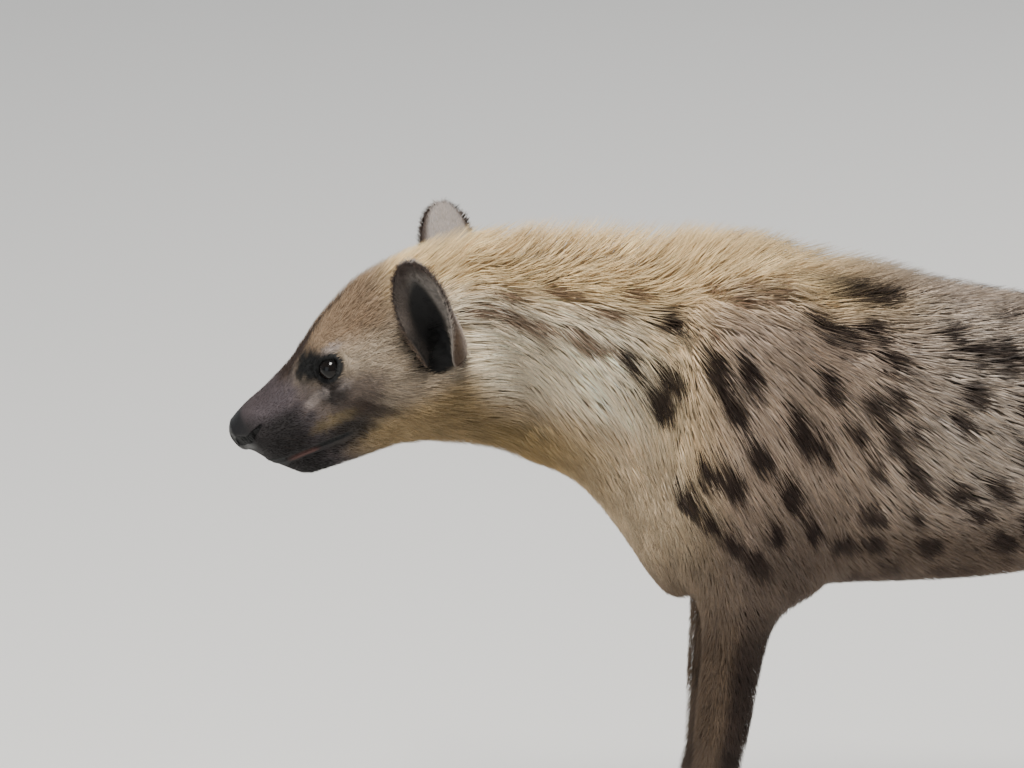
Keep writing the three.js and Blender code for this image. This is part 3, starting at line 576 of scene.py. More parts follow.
def nostril_parts(side):
    hole, deep = (on_head(t, v, side * w) for t, v, w in (NOSTRIL_HOLE, NOSTRIL_DEEP))
    marks = []
    for t, v, half in NOSTRIL_LINE:
        middle = on_head(t, v)
        reach = cast(outline_height, middle, side * head_right)
        marks.append((on_head(t, v, side * (reach - 1.5)), half))
    parts = [
        loft(hole, deep, head_up, [[0, 6.6, 6.2, 6.6], [1, 5, 5, 5]], (6, 4)),
        loft(lerp(hole, deep, 0.5), marks[0][0], head_up, [[0, 6, 6, 6], [1, 5.4, 5.4, 6]], (4, 3)),
    ]
    for (start, wide), (end, narrow) in zip(marks, marks[1:]):
        parts.append(loft(start, end, head_up,
                          [[0, wide, wide, 6.0], [1, narrow, narrow, 4.5]], (wide / 2, narrow / 2)))
    return parts


nostril_shapes = [shape for side, word in SIDES for shape in nostril_parts(side)]


def in_nostrils(points):
    depth = np.full(len(points), FAR)
    for shape in nostril_shapes:
        depth = np.minimum(depth, height_over(shape, points))
    return depth


def nose_and_nostrils(points, height):
    near = in_box(points, nose_pad)
    if not near.any():
        return height
    local = points[near]
    part = blend(height[near], height_over(nose_pad, local) + 0.4, 4)
    t, v, w = in_head(local)
    part += GROOVE_DEPTH * bell(w, GROOVE_HALF_WIDTH) * smooth(t, 246, 258) * smooth(v, 14, -2)
    wing = bell(t - 246, 11, v - 12, 5) * smooth(np.abs(w), 14, 26)
    part -= WING_SWELL * wing
    height[near] = carve(part, in_nostrils(local), 1.6)
    return height


# The front of the muzzle slants back from the nose to the lips, and the chin slants under it:
# place along and up, and turn in degrees
MUZZLE_FRONT = (266, -3, 30)
CHIN_FRONT = (241.5, -43, 38)
FRONT_FROM = 185
FRONT_SOFTNESS = 7
FRONT_ROUNDNESS = 0.012


def front_of_muzzle(points, height):
    t, v, w = in_head(points)
    upper, lower = (
        (t - t0) * math.cos(math.radians(turn)) - (v - v0) * math.sin(math.radians(turn))
        for t0, v0, turn in (MUZZLE_FRONT, CHIN_FRONT))
    above = smooth(above_mouth(t, v), -3, 2.5)
    slant = lerp(lower, upper, above) + FRONT_ROUNDNESS * w**2
    return np.where(t > FRONT_FROM, -blend(-height, -slant, FRONT_SOFTNESS), height)


# Shallow forms at the head's sides: rise, place along and up, half length and height
FACE_FORMS = {
    "cheek": (3.2, 92, -4, 34, 16),
    "temple": (-3.5, 92, 44, 26, 16),
    "before the eye": (-2.6, 176, 6, 22, 12),
    "under the cheekbone": (-1.6, 128, -14, 12, 9),
    "whisker pad": (2.0, 205, -12, 24, 13),
}


def face_forms(points, height):
    t, v, w = in_head(points)
    side_on = smooth(np.abs(w), 20, 50)
    for rise, along, up, length, tall in FACE_FORMS.values():
        height = height - rise * (bell(t - along, length, v - up, tall) * side_on)
    return height


DOCK_SOFTNESS = 14
SOLE_HEIGHT = 0.7
COAT_ZONE = 90
GRID_COAT_ZONE = 75


def skin_height(points):
    height = field(body_parts, points)
    height = height + np.where(np.abs(height) < COAT_ZONE, coat_depth(points), 0.0)
    height = blend(height, height_over(dock, points), DOCK_SOFTNESS)
    return np.maximum(height, SOLE_HEIGHT - points[:, 2])


# Root of each ear: place along and up the head, and how far it leans forward
EAR_PLACE = {LEFT: (24, -1, -0.2), RIGHT: (12, -18, -0.28)}
EAR_ASIDE = 88


def ear_axes(side):
    along, rise, lean = EAR_PLACE[side]
    base = on_head(along, rise, side * EAR_ASIDE)
    up = unit(lean * head_forward + 0.88 * head_up + 0.3 * side * head_right)
    open_way = 0.45 * head_forward + 0.85 * side * head_right - 0.1 * head_up
    open_way = unit(open_way - up * np.dot(open_way, up))
    return base, up, open_way, np.cross(up, open_way) * side


def ear_pit(side):
    """The hollow of the head at the bottom of the ear's cup."""
    base, up, open_way, across = ear_axes(side)
    return loft(base - 4 * up, base + 46 * up, open_way,
                [[0, 22, 17, 19], [1, 30, 22, 28]], (15, 20))


ear_pits = [ear_pit(side) for side, word in SIDES]


def in_ear_pit(points):
    depth = np.full(len(points), FAR)
    for pit in ear_pits:
        near = in_box(points, pit)
        depth[near] = np.minimum(depth[near], height_over(pit, points[near]))
    return depth


def head_height(points):
    height = face_forms(points, skin_height(points))
    height = carve(height, in_ear_pit(points), 6)
    height = front_of_muzzle(points, height)
    height = nose_and_nostrils(points, height)
    height = mouth(points, height)
    return lids(points, height)


# Skin mesh: surface nets over a grid, pulled onto the true surface
GRID_STEP = 4.5
GRID_LOW = np.array([-530.0, -170.0, -9.0])
GRID_HIGH = np.array([770.0, 170.0, 850.0])


def grid_heights():
    axes = [np.arange(low, high, GRID_STEP) for low, high in zip(GRID_LOW, GRID_HIGH)]
    values = np.full([len(axis) for axis in axes], FAR, np.float32)

    def block(shape):
        slices = []
        for axis, low, high in zip(axes, shape["low"], shape["high"]):
            slices.append(slice(*np.searchsorted(axis, [low, high])))
        cells = np.meshgrid(*[axis[s] for axis, s in zip(axes, slices)], indexing="ij")
        return tuple(slices), np.stack([cell.ravel() for cell in cells], axis=1)

    for shape, softness in body_parts:
        slices, points = block(shape)
        inner = values[slices]
        height = height_over(shape, points).reshape(inner.shape)
        values[slices] = blend(inner, height, softness)
    close = np.argwhere(np.abs(values) < GRID_COAT_ZONE)
    points = GRID_LOW + close * GRID_STEP
    values[tuple(close.T)] += coat_depth(points)
    slices, points = block(dock)
    inner = values[slices]
    values[slices] = blend(inner, height_over(dock, points).reshape(inner.shape), DOCK_SOFTNESS)
    floor_gap = (SOLE_HEIGHT - axes[2])[None, None, :]
    return np.maximum(values, floor_gap)


CORNERS = np.array([[i, j, k] for i in (0, 1) for j in (0, 1) for k in (0, 1)])
CELL_EDGES = [(a, b) for a in range(8) for b in range(a + 1, 8)
              if np.abs(CORNERS[a] - CORNERS[b]).sum() == 1]


def surface_nets(values):
    inside = values < 0
    size = np.array(values.shape) - 1

    def corner(array, offset):
        return array[tuple(slice(o, o + s) for o, s in zip(offset, size))]

    count = sum(corner(inside, offset).astype(np.int8) for offset in CORNERS)
    cells = np.argwhere((count > 0) & (count < 8))
    heights = np.stack([values[tuple((cells + offset).T)] for offset in CORNERS], axis=1)
    total = np.zeros((len(cells), 3))
    crossings = np.zeros(len(cells))
    for a, b in CELL_EDGES:
        cut = (heights[:, a] < 0) != (heights[:, b] < 0)
        share = heights[:, a] / np.where(cut, heights[:, a] - heights[:, b], 1.0)
        place = CORNERS[a] + share[:, None] * (CORNERS[b] - CORNERS[a])
        total += np.where(cut[:, None], place, 0.0)
        crossings += cut
    points = GRID_LOW + (cells + total / crossings[:, None]) * GRID_STEP
    index = np.full(size, -1, np.int64)
    index[tuple(cells.T)] = np.arange(len(cells))
    quads = []
    for axis in range(3):
        others = [k for k in range(3) if k != axis]
        low = [slice(None)] * 3
        high = [slice(None)] * 3
        low[axis] = slice(0, -1)
        high[axis] = slice(1, None)
        cut = inside[tuple(low)] != inside[tuple(high)]
        edges = np.argwhere(cut)
        edges = edges[np.all(edges[:, others] > 0, axis=1)]
        edges = edges[np.all(edges[:, others] < size[others], axis=1)]
        ring = []
        for p, q in ((0, 0), (1, 0), (1, 1), (0, 1)):
            cell = edges.copy()
            cell[:, others[0]] -= p
            cell[:, others[1]] -= q
            ring.append(index[tuple(cell.T)])
        quad = np.stack(ring, axis=1)
        flip = inside[tuple(edges.T)] == (axis == 1)
        quad[flip] = quad[flip][:, ::-1]
        quads.append(quad)
    return points, np.concatenate(quads)


def slope(height, points, step=0.6):
    parts = []
    for axis in np.eye(3):
        parts.append(height(points + step * axis) - height(points - step * axis))
    return np.stack(parts, axis=1) / (2 * step)


def settle(height, points, rounds, reach):
    """Moves points onto the surface, along its slope."""
    for _ in range(rounds):
        gradient = slope(height, points)
        steep = np.maximum(dot(gradient, gradient), 0.05)
        move = gradient * (height(points) / steep)[:, None]
        length = np.linalg.norm(move, axis=1, keepdims=True)
        points = points - move * np.minimum(1.0, reach / np.maximum(length, 1e-9))
    return points


def vertex_vectors(mesh, name):
    values = np.empty(len(mesh.vertices) * 3, np.float32)
    mesh.vertices.foreach_get(name, values)
    return values.reshape(-1, 3).astype(float)


def fill_mesh(name, points, faces, uv=None, colours=None):
    """A mesh from millimetre points and faces that all have the same number of corners."""
    mesh = bpy.data.meshes.new(name)
    corners = faces.shape[1]
    mesh.vertices.add(len(points))
    mesh.vertices.foreach_set("co", ((points + shift) * MM).astype(np.float32).ravel())
    mesh.loops.add(faces.size)
    mesh.loops.foreach_set("vertex_index", faces.astype(np.int32).ravel())
    mesh.polygons.add(len(faces))
    starts = np.arange(0, faces.size, corners, dtype=np.int32)
    mesh.polygons.foreach_set("loop_start", starts)
    mesh.update(calc_edges=True)
    if uv is not None:
        layer = mesh.uv_layers.new(name="OFBake")
        layer.data.foreach_set("uv", uv[faces.ravel()].astype(np.float32).ravel())
    if colours is not None:
        paint(mesh, "Coat", colours)
    mesh.polygons.foreach_set("use_smooth", np.ones(len(faces), bool))
    return mesh


def paint(mesh, name, colours):
    layer = mesh.color_attributes.new(name, "FLOAT_COLOR", "POINT")
    values = np.ones((len(colours), 4), np.float32)
    values[:, :3] = colours
    layer.data.foreach_set("color", values.ravel())


def add_object(name, mesh, material, nodes=()):
    piece = bpy.data.objects.new(name, mesh)
    bpy.context.scene.collection.objects.link(piece)
    mesh.materials.clear()
    mesh.materials.append(material)
    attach(piece, "root")
    if nodes:
        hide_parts(*nodes)
    return piece


def refine(points, quads, chosen):
    """Splits the chosen faces in four, and keeps their neighbours joined to them."""
    work = bmesh.new()
    verts = [work.verts.new(point) for point in points]
    for quad in quads:
        work.faces.new([verts[i] for i in quad])
    work.faces.ensure_lookup_table()
    for test in chosen:
        centres = np.array([face.calc_center_median() for face in work.faces])
        picked = test(centres)
        edges = set()
        for face, wanted in zip(work.faces, picked):
            if wanted:
                edges.update(face.edges)
        bmesh.ops.subdivide_edges(work, edges=list(edges), cuts=1, use_grid_fill=True)
        work.faces.ensure_lookup_table()
    mesh = bpy.data.meshes.new("skin")
    work.to_mesh(mesh)
    work.free()
    return mesh


def near_head(centres):
    t, v, w = in_head(centres)
    return (t > 30) & (centres[:, 0] < -250)


def near_features(centres):
    t, v, w = in_head(centres)
    picked = (t > 222) & (v > -60)
    for centre in eyes.values():
        picked |= np.linalg.norm(centres - centre, axis=1) < 30
    mouth_line = np.abs(above_mouth(t, v)) < 9
    return picked | (mouth_line & (t > 140))


def near_nostrils(centres):
    close = np.zeros(len(centres), bool)
    here = in_box(centres, nose_pad)
    close[here] = in_nostrils(centres[here]) < 3.5
    return close


def near_eyes(centres):
    picked = np.zeros(len(centres), bool)
    for centre in eyes.values():
        picked |= np.linalg.norm(centres - centre, axis=1) < 22
    return picked


def near_eyes_or_nostrils(centres):
    return near_eyes(centres) | near_nostrils(centres)


# Rounds of settling and the reach of each, over the body, the head and its deep forms
BODY_SETTLING = (3, GRID_STEP * 0.6)
HEAD_SETTLING = (5, 1.6)
DEEP_SETTLING = (6, 2.2)


def build_skin_points():
    points, quads = surface_nets(grid_heights())
    points = settle(skin_height, points, *BODY_SETTLING)
    mesh = refine(points, quads, [near_head, near_features, near_eyes_or_nostrils])
    points = vertex_vectors(mesh, "co")
    head = (in_head(points)[0] > 20) & (points[:, 0] < -240)
    points[head] = settle(head_height, points[head], *HEAD_SETTLING)
    front = head & (in_head(points)[0] > 200)
    points[front] = settle(head_height, points[front], *DEEP_SETTLING)
    holes = near_nostrils(points)
    points[holes] = settle(head_height, points[holes], *DEEP_SETTLING)
    return mesh, points


# Colours of the coat, in linear light
def linear(red, green, blue):
    value = np.array([red, green, blue], float)
    return np.where(value > 0.04045, ((value + 0.055) / 1.055) ** 2.4, value / 12.92)


GOLD = linear(0.86, 0.75, 0.57)
CREAM = linear(0.90, 0.84, 0.74)
GREY_BROWN = linear(0.68, 0.60, 0.53)
RUMP_GREY = linear(0.72, 0.66, 0.60)
SPOT = linear(0.15, 0.11, 0.10)
SOFT_SPOT = linear(0.42, 0.32, 0.25)
DARK_LEG = linear(0.22, 0.18, 0.16)
TAN = linear(0.46, 0.39, 0.32)
THROAT = linear(0.60, 0.51, 0.36)
CHEST = linear(0.74, 0.66, 0.55)
BELLY = linear(0.44, 0.38, 0.33)
MUZZLE = linear(0.10, 0.085, 0.085)
BRIDGE = linear(0.27, 0.24, 0.25)
CHEEK = linear(0.57, 0.515, 0.445)
BROW = linear(0.47, 0.39, 0.31)
STRIPE = linear(0.17, 0.13, 0.11)
PALE = linear(0.58, 0.54, 0.52)
ASH = linear(0.29, 0.25, 0.23)
OLIVE = linear(0.36, 0.31, 0.22)
# Near black: the dark skin round the eyes and lips, painted shade inside the nostrils and in the
# mouth's slot, and the hollows at the bottom of the ears
DARK_SKIN_AND_SHADE = linear(0.03, 0.025, 0.025)
LIP = linear(0.31, 0.20, 0.18)
NOSE = linear(0.075, 0.068, 0.07)
PAD = linear(0.10, 0.085, 0.08)
BRUSH = linear(0.08, 0.065, 0.06)
HORN = linear(0.13, 0.11, 0.10)
WHISKER = linear(0.14, 0.12, 0.11)

# Marks of the face: place along and up, half length and height, turn, colour, strength
FACE_MARKS = (
    (38, 31, 13, 12, 0.0, STRIPE, 0.6),
    (124, -4, 44, 22, 0.25, ASH, 0.8),
    (146, 10, 19, 13, 0.0, MUZZLE, 0.85),
    (164, 11, 17, 5.5, 0.3, PALE, 0.38),
    (130, 14, 10, 6, 0.3, PALE, 0.3),
    (126, 50, 16, 5, 0.0, PALE, 0.7),
    (158, -18, 30, 8, 0.0, OLIVE, 0.8),
    (116, -24, 26, 9, -0.7, STRIPE, 0.8),
    (158, -38, 40, 16, 0.1, MUZZLE, 0.9),
    (155, 43, 22, 16, 0.35, DARK_SKIN_AND_SHADE, 1.0),
)

# Spots of the left side as the photo shows them: place along and up, half length and height
STRONG_SPOTS = (
    (-56, 757, 15, 13), (-99, 718, 8, 15), (-63, 696, 11, 14), (-75, 678, 11, 19),
    (-13, 707, 11, 27), (18, 707, 10, 22), (2, 670, 11, 18), (70, 648, 11, 27),
    (28, 621, 12, 19), (-1, 594, 12, 18), (-23, 605, 11, 16), (-44, 573, 10, 16),
    (103, 748, 10, 13), (129, 737, 9, 12), (155, 743, 9, 12), (168, 713, 10, 14),
    (113, 790, 10, 9), (126, 784, 9, 10), (145, 774, 10, 11), (177, 772, 18, 8),
    (238, 732, 10, 12), (261, 718, 10, 12), (263, 764, 21, 8),
    (-26, 553, 9, 13), (0, 533, 11, 15), (24, 508, 12, 16), (62, 580, 10, 21),
    (43, 543, 9, 15), (92, 626, 10, 18), (104, 690, 10, 15), (84, 540, 9, 14),
)
SPOT_SIZE = 1.12
SPOT_DROP = 11
SOFT_SPOTS = (
    (-240, 770, 16, 6), (-214, 759, 14, 6), (-187, 748, 13, 9), (-150, 736, 15, 8),
    (-126, 725, 13, 8), (-170, 788, 10, 7), (-155, 780, 9, 6), (-214, 785, 12, 4),
    (-83, 787, 9, 6), (-112, 762, 12, 6), (-13, 741, 7, 7), (-9, 793, 10, 7),
    (22, 781, 11, 8), (56, 779, 10, 10), (30, 800, 8, 6), (67, 790, 9, 7),
)
LEG_COLOUR_SHARE = 0.999
DARKEST = 0.004
SPOTTED_TO = 700
SHOWN_TO = 285
SHOWN_FROM = 690
SPOT_PITCH = 41


def seeded_spots(side):
    """Spots on the hindquarters, and on the whole of the side that the photo doesn't show."""
    draw = np.random.default_rng(5 + side)
    start = 120 if side == LEFT else -60
    places = []
    for row, z in enumerate(np.arange(440, 760, SPOT_PITCH * 0.82)):
        for x in np.arange(start, SPOTTED_TO, SPOT_PITCH):
            place_x = x + (row % 2) * SPOT_PITCH / 2 + draw.uniform(-11, 11)
            place_z = z + draw.uniform(-10, 10)
            half_x, half_z = draw.uniform(8, 13), draw.uniform(9, 17)
            taken = side == LEFT and place_x < SHOWN_TO and place_z > SHOWN_FROM
            if draw.uniform() < 0.82 and not taken:
                places.append((place_x, place_z, half_x, half_z))
    return places


def spot_share(points, spots, ragged):
    share = np.zeros(len(points))
    x = points[:, 0] + ragged[:, 0]
    z = points[:, 2] + ragged[:, 1] + SPOT_DROP
    for place_x, place_z, half_x, half_z in spots:
        near = (np.abs(x - place_x) < 3 * half_x) & (np.abs(z - place_z) < 3 * half_z)
        lean = 0.25 * (z[near] - place_z)
        away = ((x[near] - place_x + lean) / half_x) ** 2 + ((z[near] - place_z) / half_z) ** 2
        share[near] = np.maximum(share[near], smooth(away / SPOT_SIZE**2, 1.7, 0.45))
    return share


def mix(colours, *layers):
    """Lays each colour over the last ones, by its share at each point."""
    for colour, share in layers:
        colours = colours + (colour - colours) * np.clip(share, 0, 1)[:, None]
    return colours


def plain(colour, points):
    return np.tile(colour, (len(points), 1))


def body_spots(points, around):
    x, y, z = points.T
    ragged = np.stack([4.5 * waves(points, 17, 7), 4.5 * waves(points, 19, 8)], axis=1)
    off_spine = smooth(around, 0.12, 0.3)
    left = y < 0
    layers = [
        (SOFT_SPOT, 0.85 * spot_share(points, SOFT_SPOTS, ragged) * off_spine),
        (SPOT, 0.96 * (spot_share(points, STRONG_SPOTS, ragged) * left) * off_spine),
    ]
    for side, here in ((LEFT, left), (RIGHT, ~left)):
        share = spot_share(points, seeded_spots(side), ragged) * here
        layers.append((SPOT, 0.9 * share * smooth(around, 0.2, 0.4) * smooth(z, 400, 450)))
    return layers


def body_colour(points):
    x, y, z = points.T
    around = round_body(points)
    low = smooth(z, 610, 480) * smooth(x, -90, -30) * smooth(x, 170, 60)
    colours = mix(
        plain(GOLD, points),
        (CREAM, smooth(around, 0.55, 0.95) * smooth(-x, 20, 120)),
        (GREY_BROWN, smooth(x, -90, 20) * smooth(around, 0.35, 0.9)),
        (RUMP_GREY, smooth(x, 110, 260)),
        (GREY_BROWN, 0.55 * smooth(x, 60, 200) * smooth(around, 0.5, 0.1)),
        (CHEST, smooth(around, 1.7, 2.1) * smooth(x, 0, -70)),
        (THROAT, smooth(around, 1.9, 2.4) * smooth(-x, 90, 190)),
        (BELLY, smooth(around, 1.8, 2.5) * smooth(x, -60, 60)),
        (ASH, 0.6 * low * smooth(around, 1.0, 1.4)),
    )
    patches = 0.12 * waves(points, 85, 3) + 0.10 * waves(points, 30, 4)
    return mix(colours * (1 + patches)[:, None], *body_spots(points, around))


def leg_colour(points):
    x, y, z = points.T
    fore = x < 300
    front_line = np.where(fore, -6 + 0.11 * (z - CARPUS_HEIGHT), 600)
    colours = mix(
        plain(DARK_LEG, points),
        (TAN, 0.5 * smooth(-(x - front_line), 4, 20) * fore * smooth(z, 120, 300)),
        (GREY_BROWN, 0.7 * smooth(z, 300, 430) * ~fore),
        (GREY_BROWN, 0.25 * smooth(z, 380, 470) * fore),
        (PAD, smooth(z, 8, 2)),
    )
    return colours * (1 + 0.16 * waves(points, 40, 12))[:, None]


def face_marks(points, t, v, aside):
    ragged_t = t + 3.0 * waves(points, 15, 41)
    ragged_v = v + 2.2 * waves(points, 13, 42)
    layers = []
    for t0, v0, half_t, half_v, turn, colour, strength in FACE_MARKS:
        along = (ragged_t - t0) * math.cos(turn) - (ragged_v - v0) * math.sin(turn)
        rise = (ragged_t - t0) * math.sin(turn) + (ragged_v - v0) * math.cos(turn)
        away = np.sqrt((along / half_t) ** 2 + (rise / half_v) ** 2)
        layers.append((colour, strength * smooth(away, 1.4, 0.5) * smooth(aside, 14, 24)))
    return layers


def round_eye(points, side, half_length, half_height, drop=0.0):
    """How far a point lies from an eye, as a share of the oval round it."""
    facing, level, upright = eye_axes(side)
    offset = points - eyes[side]
    length = (offset @ level) / half_length
    tall = (offset @ upright + drop) / half_height
    return np.sqrt(length**2 + tall**2)


def dark_openings(points, t, v, w):
    """The dark skin round the eyes; along the mouth the dark lip skin with painted shade in the
    mouth's slot, in a broader band at the front; and the lip's lighter inner edge.
    """
    above = above_mouth(t, v)
    layers = [(DARK_SKIN_AND_SHADE, smooth(round_eye(points, side, 20.0, 15.5, 1), 1.15, 0.85) * (w * side > 20))
              for side, word in SIDES]
    return layers + [
        # Dark lip skin with painted shade of the mouth's slot over it, and a broader band of painted
        # shade at the front
        (DARK_SKIN_AND_SHADE, smooth(np.abs(above + 1.0), 4.0, 1.5) * smooth(t, 146, 160)),
        (DARK_SKIN_AND_SHADE, smooth(np.abs(above + 2), 8, 4) * smooth(t, 226, 236)),
        (LIP, 0.8 * (smooth(np.abs(above + 3.6), 3.0, 1.0)
                     * smooth(t, 188, 200) * smooth(t, 232, 218))),
    ]


def face_colour(points):
    t, v, w = in_head(points)
    aside = np.abs(w)
    ragged = 5.0 * waves(points, 20, 43)
    stripe = lerp(7, 24, smooth(t, 110, 185)) + 0.4 * ragged
    colours = mix(
        plain(CHEEK, points),
        (GOLD, smooth(v, 45, 75) * smooth(t, 70, 10)),
        (BROW, 0.9 * smooth(v, 34, 62) * smooth(t, 20, 70)),
        (ASH, 0.8 * smooth(t + ragged, 84, 160) * smooth(v, 44, 18)),
        (BRIDGE, smooth(t + ragged, 150, 196)),
        (STRIPE, smooth(aside - stripe, 8, -7) * smooth(t, 60, 104) * (v > 15)),
        (BRIDGE, 0.8 * smooth(t, 185, 205) * smooth(v, 14, 26)),
        (THROAT, 0.85 * smooth(-v, 24, 54) * smooth(t, 185, 120)),
        (MUZZLE, smooth(t + ragged, 168, 206) * smooth(v, 24, 4)),
        (MUZZLE, smooth(t, 225, 250) * smooth(v, 30, 14)),
        *face_marks(points, t, v, aside),
        (NOSE, smooth(t, 244, 252) * smooth(v, -16, -8)),
    )
    colours = colours * (1 + 0.14 * waves(points, 26, 21))[:, None]
    colours = mix(colours, *dark_openings(points, t, v, w))
    # Painted shade: the insides of the nostrils are painted near black
    nose = in_box(points, nose_pad)
    colours[nose] = mix(colours[nose], (DARK_SKIN_AND_SHADE, smooth(in_nostrils(points[nose]), 1.2, 0.1)))
    return colours


def coat_colour(points):
    face = smooth(in_head(points)[0], -30, 30) * smooth(-points[:, 0], 215, 262)
    colours = mix(
        body_colour(points),
        (leg_colour(points), leg_share(points) * LEG_COLOUR_SHARE),
        (face_colour(points), face),
        (DARK_SKIN_AND_SHADE, smooth(in_ear_pit(points), 4, 0)),
    )
    tail = height_over(dock, points) < 4
    colours[tail] = mix(colours[tail], (BRUSH, smooth(-points[tail, 2], -600, -520)))
    return np.clip(colours, DARKEST, 1)


# Lie of the coat over the body
def coat_lie(points, normals):
    x, y, z = points.T
    sideward = np.sin(np.minimum(round_body(points), math.pi / 2))
    droop = lerp(1.3, 1.8, smooth(x, -180, 0)) * (1 - 0.78 * smooth(x, 40, 240))
    droop = droop + 0.75 * smooth(x, 430, 640)
    fall = droop * sideward**2 + 1.6 * smooth(np.abs(normals[:, 0]), 0.35, 0.8)
    lie = np.stack([np.ones(len(x)), np.zeros(len(x)), -fall], axis=1)
    t, v, w = in_head(points)
    fan = 0.35 * smooth(-v, -30, 60) + 0.05
    face = -head_forward[None] - fan[:, None] * head_up[None]
    face = face + 0.25 * np.sign(w)[:, None] * head_right * smooth(np.abs(w), 5, 40)[:, None]
    lie = lie + (face * 1.2 - lie) * face_share(points)[:, None]
    down = np.array([0.12, 0.0, -1.0])
    lie = lie + (down - lie) * leg_share(points)[:, None]
    swirl = np.stack([waves(points, 120, 31), waves(points, 110, 32), waves(points, 120, 33)], axis=1)
    return flatten_to(lie + 0.16 * swirl, normals)


# An unwrap of the skin: a strip for the body below, one for each limb over it, the ears on top
MID_LENGTH = 250
LIMBS_ASIDE = 84
LIMB_TOP = 440


def whole_turns(angle):
    return (angle + math.pi) / (2 * math.pi)


def unwrap(points):
    x, y, z = points.T
    rear = x > MID_LENGTH
    around = whole_turns(np.arctan2(y, z - axis_height(x)))
    turn = whole_turns(np.arctan2(np.abs(y) - LIMBS_ASIDE, x - np.where(rear, 600, -12)))
    limb = rear * 2 + (y > 0)
    limb_u = limb * 0.25 + 0.01 + 0.23 * turn
    limb_v = 0.50 + 0.36 * np.clip(z / 520, 0, 1)
    body_u = (x - GRID_LOW[0]) / (GRID_HIGH[0] - GRID_LOW[0])
    low = (z < LIMB_TOP) & (x < RUMP_X)
    return np.stack([
        np.where(low, limb_u, body_u),
        np.where(low, limb_v, 0.02 + 0.46 * around),
    ], axis=1)


# Roots of the coat, evenly drawn over the skin
def triangle_corners(mesh):
    mesh.calc_loop_triangles()
    corners = np.empty(len(mesh.loop_triangles) * 3, np.int32)
    mesh.loop_triangles.foreach_get("vertices", corners)
    return corners.reshape(-1, 3)


def measure_triangles(points, corners):
    """Each triangle's normal, area and centre."""
    a, b, c = (points[corners[:, k]] for k in range(3))
    cross = np.cross(b - a, c - a)
    return unit(cross), np.linalg.norm(cross, axis=1) / 2, (a + b + c) / 3


def draw_roots(mesh, points, normals, density, draw):
    corners = triangle_corners(mesh)
    facing, area, centres = measure_triangles(points, corners)
    weight = np.cumsum(area * density(centres))
    count = int(weight[-1])
    picks = (np.arange(count) + draw.uniform(0, 1, count)) / count * weight[-1]
    triangles = np.minimum(np.searchsorted(weight, picks), len(weight) - 1)
    p = draw.uniform(0, 1, count)
    q = draw.uniform(0, 1, count)
    over = p + q > 1
    p[over] = 1 - p[over]
    q[over] = 1 - q[over]
    shares = np.stack([1 - p - q, p, q], axis=1)
    place, normal = (spread(values, corners[triangles], shares) for values in (points, normals))
    return place, unit(normal)


def spread(values, corners, shares):
    """Values inside triangles, from those at their corners."""
    return sum(shares[:, [k]] * values[corners[:, k]] for k in range(3))


def clump_pull(roots, tips, spacing, seed):
    """The mean tip of each small patch, where its tufts meet, and the patch's own tone."""
    jitter = np.stack([waves(roots, 60, seed + k) for k in range(3)], axis=1) * spacing * 0.35
    cells = np.floor((roots + jitter) / spacing).astype(np.int64) + 4000
    key = (cells[:, 0] * 10000 + cells[:, 1]) * 10000 + cells[:, 2]
    unique, inverse = np.unique(key, return_inverse=True)
    inverse = inverse.ravel()
    total = np.zeros((len(unique), 3))
    np.add.at(total, inverse, tips - roots)
    count = np.bincount(inverse).astype(float)
    root_total = np.zeros((len(unique), 3))
    np.add.at(root_total, inverse, roots)
    tone = np.random.default_rng(seed).normal(1.0, 0.09, len(unique))
    return ((total + root_total) / count[:, None])[inverse], tone[inverse]


def bend_tufts(roots, normals, lies, length, lift, bend, draw):
    """Root, middle and tip of each tuft, and the way across it."""
    count = len(roots)
    turn = draw.normal(0, 0.15, count)
    lies = unit(lies + turn[:, None] * np.cross(normals, lies))
    rise = lift + draw.normal(0, 0.06, count)
    first = lies * np.cos(rise)[:, None] + normals * np.sin(rise)[:, None]
    late = rise * bend
    second = lies * np.cos(late)[:, None] + normals * np.sin(late)[:, None]
    base = roots - normals * np.minimum(2.0, 0.2 * length)[:, None]
    middle = roots + first * (0.45 * length)[:, None]
    tip = middle + second * (0.55 * length)[:, None]
    return base, middle, tip, unit(np.cross(normals, lies))


# Corners and faces of one tuft: a spindle that bends at its ring, or a short spike
SPINDLE_FACES = np.array([[4, 1, 3], [4, 3, 2], [4, 2, 1], [0, 3, 1], [0, 2, 3], [0, 1, 2]])
SPIKE_FACES = np.array([[0, 1, 2], [3, 0, 2], [3, 2, 1], [3, 1, 0]])
SPINDLE_PATCH = np.array([[0, -1.0], [1, 0], [-1, 0], [0, 0.2], [0, 1.2]])
SPIKE_PATCH = np.array([[-1, -1], [1, -1], [0, -0.2], [0, 1.2]])
PATCH = 0.003
CLUMP = 15.0
SEEN = 0.55
ROOT_SHADE = 0.86
DARKEST_TUFT = 0.003
TUFT_THICKNESS = 0.35
SKIN_SHADE = 0.95


